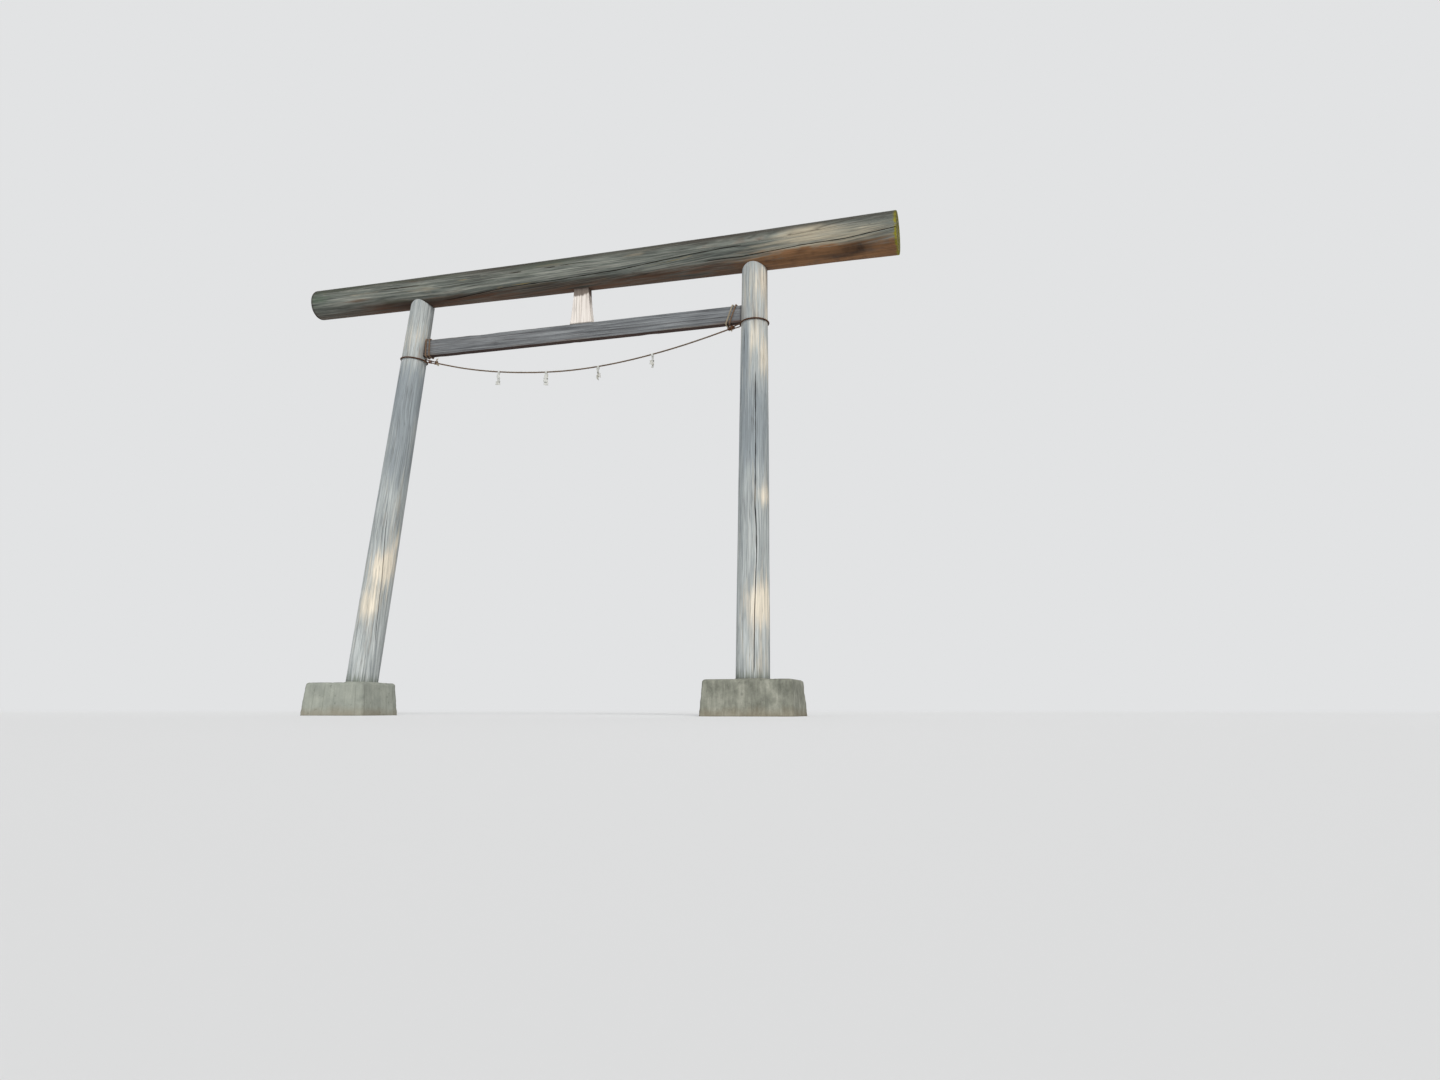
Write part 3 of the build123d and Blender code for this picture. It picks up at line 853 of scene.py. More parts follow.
def add_patches(masks, patches, along, degrees):
    """Each patch is a soft bump along the log times a soft bump round it, added to its mask."""
    for mask, places in patches.items():
        for strength, middle, reach, around, spread in places:
            bump = spot(along, middle, reach) * spot(degrees, around, spread)
            masks[mask] = masks[mask] + strength * bump


def darken_checks(masks, grooves):
    """Painted shade in the drying checks: the dark mask goes up with a check's depth, to 1 at the
    dark depth.
    """
    masks["dark"] = np.maximum(masks["dark"], np.clip(grooves / DARK_DEPTH, 0, 1))


def degrees_round(angles):
    """Angles round a log in degrees, from -180 to 180."""
    return (np.degrees(angles) + 180) % 360 - 180


def round_grain(radius, around, along):
    """The grain attribute of what is round: its section, and the length along it."""
    return points_from(radius * np.cos(around), radius * np.sin(around), along)


def make_camera(stage):
    data = bpy.data.cameras.new("photo_camera")
    data.lens = stage.lens
    data.sensor_width = 36.0
    data.clip_end = 200.0
    camera = add_object("photo_camera", data)
    camera.location = stage.camera_place
    camera.rotation_euler = (math.pi / 2 + stage.camera_tilt, 0, stage.camera_turn)
    bpy.context.scene.camera = camera


# Each lamp: its bearing, height and softness in degrees, its strength and its colour
LAMPS = [
    ("key_lamp", 34, 34, 18, 2.5, (1.0, 0.975, 0.945)),
    ("fill_lamp", -48, 22, 50, 0.85, (0.94, 0.97, 1.0)),
    ("back_lamp", 195, 38, 50, 0.70, (0.96, 0.98, 1.0)),
]


def make_lamp(name, bearing, height, softness, strength, rgb):
    """Even light from far away. The bearing is 0 from the front and 90 degrees from +X."""
    data = bpy.data.lights.new(name, "SUN")
    data.angle = math.radians(softness)
    data.energy = strength
    data.color = rgb
    lamp = add_object(name, data)
    turn = math.radians(bearing)
    lamp.rotation_euler = (math.radians(90 - height), 0, turn)
    lamp.location = (10 * math.sin(turn), -10 * math.cos(turn), 8)


def make_surround(stage):
    """White light from all round, and a pale background where the camera sees past the gate."""
    world = bpy.data.worlds.new("studio")
    bpy.context.scene.world = world
    world.use_nodes = True
    tree = world.node_tree
    tree.nodes.clear()
    seen = add_node(tree, "ShaderNodeLightPath", "Is Camera Ray")
    rays = seen.node.outputs
    for ray in ("Is Glossy Ray", "Is Transmission Ray"):
        seen = add_node(tree, "ShaderNodeMath", 0, {0: seen, 1: rays[ray]}, operation="MAXIMUM")
    light = add_node(tree, "ShaderNodeBackground", 0, {
        "Color": (1, 1, 1, 1), "Strength": stage.surround_light})
    shown = add_node(tree, "ShaderNodeBackground", 0, {"Color": (*stage.backdrop, 1)})
    chosen = add_node(tree, "ShaderNodeMixShader", 0, {0: seen, 1: light, 2: shown})
    tree.links.new(chosen, tree.nodes.new("ShaderNodeOutputWorld").inputs["Surface"])


def make_floor(stage):
    """A flat disc whose colour turns into the background's towards its edge."""
    around = np.linspace(0, TURN, 96, endpoint=False)
    rim = stage.floor_radius * points_from(np.cos(around), np.sin(around), 0)
    mesh = bpy.data.meshes.new("floor")
    mesh.from_pydata(rim, [], [list(range(len(rim)))])
    recipe = Recipe("floor_paint", 0.9, 0.1)
    recipe.shader.inputs["Base Color"].default_value = (*stage.floor, 1)
    fade_start, fade_end = 7.0, 26.0
    fade = recipe.span(recipe.length(recipe.object_place()), fade_start, fade_end)
    seen = recipe.add("ShaderNodeLightPath", "Is Camera Ray")
    fade = recipe.math("MULTIPLY", fade, seen)
    glow = recipe.add("ShaderNodeEmission", 0, {"Color": (*stage.backdrop, 1)})
    chosen = recipe.add(
        "ShaderNodeMixShader", 0, {0: fade, 1: recipe.shader.outputs[0], 2: glow})
    recipe.tree.links.new(chosen, recipe.tree.nodes["Material Output"].inputs["Surface"])
    mesh.materials.append(recipe.material)
    add_object("floor", mesh)


class GATE_OT_stage(Operator):
    """Camera at the photograph's angle, a pale floor and background, and soft lamps"""

    bl_idname = "gate.stage"
    bl_label = "Stage"

    def execute(self, context):
        stage = context.scene.log_gate.stage
        make_camera(stage)
        for lamp in LAMPS:
            make_lamp(*lamp)
        make_surround(stage)
        make_floor(stage)
        context.scene.view_settings.view_transform = "Standard"
        return {"FINISHED"}


def route_line(points):
    """Points read from the smooth spline that has the route's points as its control points."""
    curve = bpy.data.curves.new("swag_route", "CURVE")
    curve.dimensions = "3D"
    curve.resolution_u = 24
    spline = curve.splines.new("NURBS")
    spline.points.add(len(points) - 1)
    for control, point in zip(spline.points, points):
        control.co = (*point, 1)
    spline.order_u = 3
    spline.use_endpoint_u = True
    holder = bpy.data.objects.new("swag_route", curve)
    mesh = bpy.data.meshes.new_from_object(holder)
    line = np.array([vertex.co for vertex in mesh.vertices])
    bpy.data.objects.remove(holder)
    bpy.data.curves.remove(curve)
    bpy.data.meshes.remove(mesh)
    return line


def add_rope(shape, line, sideways, diameter, lay, closed=False, sides=8, seed=0, dark=0.0,
             **masks):
    """Three strands wound round a line, whose circles touch the rope's own from inside. sideways
    is any direction across the line."""
    along = directions_along(line, closed)
    first = square_to(sideways, along)
    second = np.cross(along, first)
    ends = np.concatenate([line, line[:1] if closed else line[-1:]])
    steps = np.linalg.norm(np.diff(ends, axis=0), axis=1)
    length, whole = length_up_to(line), steps.sum()
    turns = max(1, round(whole / lay)) if closed else whole / lay
    strand_radius = STRAND_SHARE * diameter / 2
    around = np.arange(sides) * TURN / sides
    values = {key: np.asarray(value)[..., None] for key, value in masks.items()}
    for strand in range(3):
        outward = circle(first, second, TURN * (turns * length / whole + strand / 3))
        centre = line + (diameter / 2 - strand_radius) * outward
        heading = directions_along(centre, closed)
        out = square_to(outward, heading)
        rings = centre[:, None] + strand_radius * circle(
            out[:, None], np.cross(heading, out)[:, None], around)
        grain = round_grain(strand_radius, around, length[:, None] + strand * 0.7 + seed)
        # Each strand is darker on its side towards the others: dirt and painted shade where they
        # meet
        grime_and_shade = dark + (0.55 - 0.5 * dark) * smooth_step(0.35, -0.5, np.cos(around))
        shape.add_rings(rings, wrap_rows=closed, grain=grain, dark=grime_and_shade, **values)


def add_fibre(shape, root, heading, length, bend, thickness, shift, **masks):
    """A fibre that leaves along the heading and bends away as the power 1.6 of the place along it;
    it tapers evenly to a quarter of its thickness."""
    t = np.linspace(0, 1, 6)
    around = np.arange(4) * TURN / 4
    line = root + heading * (length * t)[:, None] + bend * (t**1.6)[:, None]
    first, second = across_heading(directions_along(line), (0.3, 0.9, 0.2))
    radius = (thickness / 2 * (1 - 0.75 * t))[:, None]
    rings = line[:, None] + radius[..., None] * circle(first[:, None], second[:, None], around)
    grain = round_grain(radius, around, (length * t)[:, None] + shift)
    shape.add_rings(rings, grain=grain, **masks)


def add_frayed_end(shape, start, heading, length, fibres, spread, seed):
    """A brush of fibres round the heading, each with its own seeded length and bend."""
    draws = np.random.default_rng(seed)
    for offset, reach in zip(draws.normal(size=(fibres, 3)), draws.uniform(0.55, 1.0, fibres)):
        root = start + 0.0026 * unit(offset) * draws.uniform(0.2, 1.0)
        bend = spread * offset - 0.12 * length * UP
        add_fibre(shape, root, heading, length * reach, bend, 0.0016, draws.uniform(0, 3),
                  pale=0.9, warm=0.1)


def add_stray_fibres(shape, line, diameter, spacing, seed, **masks):
    """Short fibres that stand off a rope here and there, each at a seeded place and angle."""
    draws = np.random.default_rng(seed)
    along = directions_along(line)
    for place in draws.integers(1, len(line) - 1, int(length_up_to(line)[-1] / spacing)):
        out = square_to(draws.normal(size=3), along[place])
        heading = unit(out * draws.uniform(0.5, 1.0) + along[place] * draws.uniform(-1.2, 1.2))
        add_fibre(shape, line[place] + 0.42 * diameter * out, heading,
                  draws.uniform(0.006, 0.017), 0.006 * draws.normal(size=3), 0.0007,
                  draws.uniform(0, 3), **masks)


class GATE_OT_hanging_rope(Operator):
    """The swag of three-strand rope between the knots"""

    bl_idname = "gate.hanging_rope"
    bl_label = "Hanging Rope"

    def execute(self, context):
        rope = context.scene.log_gate.rope
        material = bpy.data.materials["weathered_rope"]
        line, length = evenly_along(route_line(ROPE_ROUTE), 0.004)
        sheltered = 0.5 * (spot(length, 0.0, 0.12) + spot(length, length[-1], 0.16))
        shape = Shape()
        add_rope(shape, line, BACK, rope.diameter, rope.lay, warm=sheltered)
        swag = shape.finish("hanging_rope_strands", material, "rope_fibre", "hanging_rope")
        shape = Shape()
        add_stray_fibres(shape, line, rope.diameter, spacing=0.013, seed=51, pale=0.35)
        strays = shape.finish("hanging_rope_fibres", material, "rope_fibre")
        return {"FINISHED"}


def ring_line(gate, side):
    """A circle square to the post's axis and pressed a little into the post. Its radius goes up
    and down three times round it as a sine, and its height once."""
    rope = gate.rope
    pressed, uneven, tilted = 0.0012, 0.0006, 0.003
    reach = reach_to(gate, side, TIE_LOW.z - getattr(rope, f"{side}_drop"))
    around = np.linspace(0, TURN, 180, endpoint=False)
    radius = post_radius(gate, side, reach) + rope.diameter / 2 - pressed
    radius = radius + uneven * np.sin(3 * around + 1)
    return post_points(gate, side, reach + tilted * np.sin(around + 0.6), radius, around)


def loop_line(gate, loop_x, slant):
    """A rectangle with round corners round the tie beam, in a plane that leans along the beam."""
    rope = gate.rope
    corner = rope.loop_corner
    across = (TIE_HIGH.y - TIE_LOW.y) / 2 + rope.diameter / 2 - corner
    upward = ((TIE_HIGH.z - TIE_LOW.z) / 2 + rope.diameter / 2) / math.cos(slant) - corner
    quarter = np.linspace(0, math.pi / 2, 9)
    arcs = []
    for turn, (sign_y, sign_z) in enumerate(((1, 1), (-1, 1), (-1, -1), (1, -1))):
        around = quarter + turn * math.pi / 2
        arcs.append(np.stack([sign_y * across + corner * np.cos(around),
                              sign_z * upward + corner * np.sin(around)], -1))
    y, up = np.concatenate([*arcs, arcs[0][:1]]).T
    line = points_from(loop_x + up * math.sin(slant), y, TIE_MIDDLE + up * math.cos(slant))
    return evenly_along(line, 0.0035)[0][:-1]


def wrap_line(start, heading, length, turns, radius, swell=0.0, phase=0.0):
    """A helix round a straight axis. Its radius swells by half a sine wave along it."""
    t = np.linspace(0, 1, int(18 * abs(turns)) + 1)
    first, second = across_heading(heading, (0.0, 1.0, 0.2))
    radii = (radius + swell * np.sin(math.pi * t))[:, None]
    return start + heading * (length * t)[:, None] + radii * circle(
        first, second, TURN * turns * t + phase)


def bight_line(start, heading, length, narrow, wide):
    """A closed loop of cord: two straight sides that spread from narrow to wide, joined by a half
    circle at each end."""
    turn = np.linspace(-math.pi / 2, math.pi / 2, 13)
    bend = circle(heading, unit(np.cross(heading, BACK)), turn)
    far = start + heading * length + wide * bend
    line = np.concatenate([far, start - narrow * bend, far[:1]])
    return evenly_along(line, 0.003)[0][:-1]


def trefoil_line(centre, heading, reach):
    """A trefoil knot drawn up tight: its points are sin t + 2 sin 2t, cos t - 2 cos 2t and
    -1.3 sin 3t, shrunk until the farthest is at the reach."""
    t = np.linspace(0, TURN, 120, endpoint=False)[:, None]
    first, second = across_heading(heading, (0.1, 1.0, 0.25))
    x = (np.sin(t) + 2 * np.sin(2 * t)) * reach / 3
    y = (np.cos(t) - 2 * np.cos(2 * t)) * reach / 3
    z = -1.3 * np.sin(3 * t) * reach / 3
    return centre + x * heading + y * first + z * second


class GATE_OT_rope_ties(Operator):
    """The rings round the posts, the turns round the tie beam and the knots that join them"""

    bl_idname = "gate.rope_ties"
    bl_label = "Rope Ties"

    def execute(self, context):
        gate = context.scene.log_gate
        rope = gate.rope
        for side in SIDES:
            lean = post_foot(gate, side)[1]
            axis = np.array([math.sin(lean), 0, math.cos(lean)])
            self.make_turn(rope, f"{side}_post_ring", ring_line(gate, side), axis,
                           seed=1, stray_seed=31, looks=dict(warm=0.8, dark=0.42),
                           stray_looks=dict(warm=0.5))
            slant = getattr(rope, f"{side}_slant")
            plane = np.array([math.cos(slant), 0.0, -math.sin(slant)])
            for turn in (1, 2):
                node = f"{side}_beam_loop_{turn}"
                low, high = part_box(node)
                bleached = side == "right" and turn == 2
                looks = dict(warm=0.3, pale=0.6) if bleached else dict(warm=0.7, pale=0.15)
                line = loop_line(gate, (low.x + high.x) / 2, slant)
                self.make_turn(rope, node, line, plane, seed=turn, stray_seed=40 + turn,
                               looks=looks, stray_looks=looks)
            self.make_knot(rope, side)
        return {"FINISHED"}

    def make_turn(self, rope, node, line, sideways, seed, stray_seed, looks, stray_looks):
        """One closed turn of rope with its stray fibres."""
        shape = Shape()
        add_rope(shape, line, sideways, rope.diameter, rope.lay, closed=True, seed=seed, **looks)
        add_stray_fibres(shape, line, rope.diameter, 0.016, stray_seed, **stray_looks)
        shape.finish(f"{node}_rope", bpy.data.materials["weathered_rope"], "rope_fibre", node)

    def make_knot(self, rope, side):
        """A knot on the swag's end, a bight of cord from it to the post's ring, and frayed tails.
        The left one is a trefoil and a wrapping, the right one two wrappings over each other."""
        end, inner = ROPE_ROUTE[:2] if side == "left" else ROPE_ROUTE[:-3:-1]
        start = np.array(end)
        heading = unit(start - inner)
        length = getattr(rope, f"{side}_knot")
        knot = Shape()

        def add_cord(line, sideways, thickness=KNOT_CORD, **looks):
            add_rope(knot, line, sideways, thickness, rope.lay, sides=6, **looks)

        def add_tail(root, direction, near, reach, fibres, spread, seed, **looks):
            direction = unit(np.array(direction))
            stub = root + direction * np.linspace(near, 0.026, 8)[:, None]
            add_cord(stub, heading, seed=6, **looks)
            add_frayed_end(
                knot, stub[-1] - 0.002 * direction, direction, reach, fibres, spread, seed)

        wide = (rope.diameter + KNOT_CORD) / 2
        bight = bight_line(
            start + heading * 0.012, heading, length=length - 0.018, narrow=0.0055, wide=wide)
        add_cord(bight, BACK, closed=True, seed=3, warm=0.55, dark=0.35)
        if side == "left":
            middle = start + heading * 0.020
            trefoil = trefoil_line(middle, heading, reach=0.0155)
            add_cord(trefoil, UP, closed=True, seed=4, warm=0.5)
            wraps = wrap_line(
                start + heading * 0.066, heading, length=0.021, turns=2.4, radius=0.0105)
            add_cord(wraps, heading, KNOT_CORD * 0.8, seed=5, warm=0.8)
            add_tail(middle, (0.70, -0.45, -0.55), near=0.004, reach=0.030, fibres=64,
                     spread=0.0062, seed=11, pale=0.5)
            add_tail(middle, (0.35, -0.30, 0.85), near=0.004, reach=0.020, fibres=34,
                     spread=0.0062, seed=12, pale=0.5)
        else:
            wraps = wrap_line(start + heading * 0.003, heading, length=0.052, turns=5.2,
                              radius=0.0090, swell=0.0018)
            add_cord(wraps, heading, seed=4, warm=0.9, dark=0.3)
            over = wrap_line(start + heading * 0.012, heading, length=0.034, turns=-1.3,
                             radius=0.0150, phase=0.6)
            add_cord(over, heading, seed=5, warm=1.0, dark=0.2)
            root = start + heading * 0.030
            add_tail(root, (0.15, -0.55, -0.80), near=0.008, reach=0.016, fibres=30,
                     spread=0.0040, seed=14, warm=0.8)
        add_stray_fibres(knot, bight, KNOT_CORD, spacing=0.010, seed=21, warm=0.5)
        knot.finish(f"{side}_knot_rope", bpy.data.materials["weathered_rope"], "rope_fibre",
                    f"{side}_knot")


def strip_rings(centres, across, front, width, bulge, thickness):
    """Rings round a strip of paper whose rows are square to its centres. Each ring runs over the
    strip's one face from edge to edge and back over its other face, half a thickness away."""
    u = np.linspace(-0.5, 0.5, bulge.shape[1])[:, None]
    normal = unit(np.cross(across, directions_along(centres)))
    face = centres[:, None] + across[:, None] * (width[:, None, None] * u)
    face = face + front[:, None] * bulge[..., None]
    skin = normal[:, None] * thickness / 2
    return np.concatenate([face + skin, (face - skin)[:, ::-1]], 1)


class GATE_OT_streamers(Operator):
    """The four paper zigzags folded over the rope"""

    bl_idname = "gate.streamers"
    bl_label = "Paper Streamers"

    def execute(self, context):
        gate = context.scene.log_gate
        line = evenly_along(route_line(ROPE_ROUTE), 0.002)[0]
        tangents = directions_along(line)
        for number, streamer in enumerate(STREAMERS, start=1):
            nearest = int(np.abs(line[:, 0] - streamer.x).argmin())
            self.make_streamer(gate, number, streamer, line[nearest], tangents[nearest])
        return {"FINISHED"}

    def make_streamer(self, gate, number, streamer, centre, along):
        """A tab and the zigzag that hangs from it. The tab is a half circle over the rope with two
        legs that pinch together evenly below it. The strip curls across as the square of the
        place, and noise crumples it more towards its foot."""
        paper, slack = gate.paper, 0.0009
        collar = gate.rope.diameter / 2 + slack
        level = unit(np.cross(along, UP))
        over = np.cross(level, along)
        tab = paper.tab_length / collar
        arc = np.linspace(math.pi, 0, 15)
        fold = np.concatenate([
            np.stack([np.full(6, -1.0), np.linspace(-0.8 * tab, -0.15, 6)], -1),
            np.stack([np.cos(arc), np.sin(arc)], -1),
            np.stack([np.full(6, 1.0), np.linspace(-0.15, -tab, 6)], -1),
        ])
        pinch = np.clip(1 + 0.85 * np.minimum(fold[:, 1], 0) / tab, 0.12, 1)
        strip = centre + collar * (
            level * (fold[:, 0] * pinch)[:, None] + over * fold[:, 1][:, None])
        rows = len(strip)
        places, across, front, width, curl = self.zigzag(paper, streamer, number)
        centres = np.concatenate([strip, strip[-1] + places])
        across = np.concatenate([np.tile(along, (rows, 1)), across])
        front = np.concatenate([np.tile(level, (rows, 1)), front])
        width = np.concatenate([np.full(rows, paper.tab_width), width])
        u = np.linspace(-1, 1, 15)
        bulge = np.concatenate([np.zeros(rows), curl])[:, None] * (u**2 - 0.33)
        flat = centres[:, None] + across[:, None] * (width[:, None] * u / 2)[..., None]
        hanging = np.concatenate([np.zeros(rows), np.linspace(0, 1, len(places)) ** 0.3])
        crumple = 0.0017 * hanging[:, None] * layered_noise(flat, (40, 40, 55), 20 * number)
        rings = strip_rings(centres, across, front, width, bulge + crumple, paper.thickness)
        make_piece(rings, f"streamer_{number}_paper", bpy.data.materials["folded_paper"],
                   "streamer_paper", f"streamer_{number}")

    def zigzag(self, paper, streamer, number):
        """Three panels under the tab. Between panels the strip folds back up behind itself while it
        steps sideways, so each panel hangs from behind the one above. Everything changes evenly
        between the stations: the tab, a panel's head and foot, the next one's head and foot."""
        sign = -1 if number % 2 else 1
        height, overlap = paper.panel_height, 0.005
        panel = np.array([0, 0, 0, 1, 1, 2, 2])
        drop = [0, 0.003, height + overlap, height, 2 * height + overlap, 2 * height, 3 * height]
        aside = streamer.step * paper.panel_step / 2 * sign * np.array([0, 1, 1, -1, -1, 1, 1])
        forward = [0, 0, 0.003, -0.001, 0.003, -0.001, 0.002]
        yaw = np.radians(streamer.turn - sign * streamer.spread * np.array([0.8, -1.0, 0.7])[panel])
        wide = paper.panel_width * (1 + streamer.flare * (panel - 1))
        curl = 0.0035 * sign * (-1.0) ** panel
        yaw[0], wide[0], curl[0] = 0.0, paper.tab_width, 0.0
        fractions = np.array([0, 0.03, 0.12, 0.25, 0.4, 0.55, 0.7, 0.85, 0.97])
        stations = np.arange(len(panel))
        at = np.append((stations[:-1, None] + fractions).ravel(), stations[-1])
        drop, aside, forward, yaw, wide, curl = (
            np.interp(at, stations, values) for values in (drop, aside, forward, yaw, wide, curl))
        sway = math.radians(streamer.turn)
        front = points_from(np.sin(yaw), -np.cos(yaw), 0)
        tilt = -paper.panel_slope / paper.panel_width * np.clip(at, 0, 1)
        across = unit(points_from(np.cos(yaw), np.sin(yaw), tilt))
        places = np.array([math.cos(sway), math.sin(sway), 0.0]) * aside[:, None]
        places = places + front * forward[:, None] - UP * drop[:, None]
        return places, across, front, wide, curl


def with_cap(masks, rows):
    """The masks with their last row repeated over the rows of a cap."""
    return {mask: np.concatenate([value, np.repeat(value[-1:], rows, 0)])
            for mask, value in masks.items()}


class GATE_OT_posts(Operator):
    """The two leaning posts, with their checks, and heads cut to the round of the top beam"""

    bl_idname = "gate.posts"
    bl_label = "Posts"

    def execute(self, context):
        gate = context.scene.log_gate
        material = timber_material("post_timber_weathered", gate.posts, extra_tones=("moss", "silver"))
        for number, side in enumerate(SIDES):
            self.make_post(gate, side, 40 + 30 * number, material)
        return {"FINISHED"}

    def make_post(self, gate, side, seed, material):
        """Rows from inside the plinth up to the log's underside, and a cap of shrinking rings. The
        side is the post's radius with two noises on it, less the drying checks, and it rounds in
        as a parabola at its head."""
        posts = gate.posts
        checks = POST_CHECKS[side]
        skin, edge = 0.0012, 0.006
        top = reach_to(gate, side, gate.beam.height)
        lowest_head = top - 0.35
        climb = np.linspace(0, 1, posts.rows)
        nominal = -posts.buried + (top - 0.10 + posts.buried) * climb
        mean_radius = (posts.foot_diameter + posts.head_diameter) / 4
        angles, columns, paths = log_columns(checks, nominal, posts.columns, mean_radius)
        head = angles[-1]

        def side_at(reach):
            return post_points(gate, side, reach, post_radius(gate, side, reach), head)

        ends = values_under_beam(gate, side_at, head.shape, lowest_head, top, sunk=0.004)
        reach = -posts.buried + (ends + posts.buried) * climb[:, None]
        radius = post_radius(gate, side, reach)
        grain = round_grain(radius, columns, reach)
        grooves = check_grooves(checks, paths, nominal, angles, radius, seed + 5)
        uneven = 0.0016 * layered_noise(grain, (9, 9, 1.6), seed, layers=2)
        ridges = 0.0009 * layered_noise(grain, (62, 62, 2.2), seed + 1, layers=2)
        # How far each point lies under the post's head
        seat = ends - reach
        rounding = 0.0045 * np.clip(1 - seat / edge, 0, 1) ** 2
        shell = radius - skin + np.minimum(uneven + ridges, skin) - grooves - rounding
        body = post_points(gate, side, reach, shell, angles)
        cap_radius = shell[-1] * np.array([0.86, 0.6, 0.3])[:, None]

        def cap_at(reach):
            return post_points(gate, side, reach, cap_radius, head)

        cap_reach = values_under_beam(
            gate, cap_at, cap_radius.shape, lowest_head, top, sunk=0.002)
        degrees = degrees_round(angles)
        blotch = layered_noise(grain, (5, 5, 1.4), seed + 8)
        tie_reach = reach_to(gate, side, TIE_LOW.z)
        inner_side = 90 if side == "left" else -90
        masks = {
            "warm": 0.26 * smooth_step(0.42, 0.02, seat) + 0.26 * spot(reach, tie_reach, 0.10)
            + 0.25 * blotch,
            "pale": 0.16 + 0.3 * blotch,
            "moss": 0.6 * spot(reach, 0.0, 0.07) + 0.25 * smooth_step(60, 170, np.abs(degrees))
            + 0.3 * blotch,
            "silver": 0.3 * blotch,
            # Painted shade: darker in the seam under the log, where the post goes into the plinth,
            # and where the tie beam goes in on the inner side
            "dark": 0.5 * spot(seat, 0.0, edge) + 0.35 * spot(reach, 0.0, 0.012)
            + 0.5 * spot(reach, tie_reach + 0.066, 0.072) * spot(degrees, inner_side, 26),
        }
        add_patches(masks, POST_PATCHES_AND_PAINTED_LIGHT[side], reach, degrees)
        darken_checks(masks, grooves)
        cap_grain = round_grain(cap_radius, columns[0], cap_reach)
        make_piece(np.concatenate([body, cap_at(cap_reach)]), f"{side}_post_log", material,
                   "post_timber", f"{side}_post", grain=np.concatenate([grain, cap_grain]),
                   **with_cap(masks, len(cap_radius)))


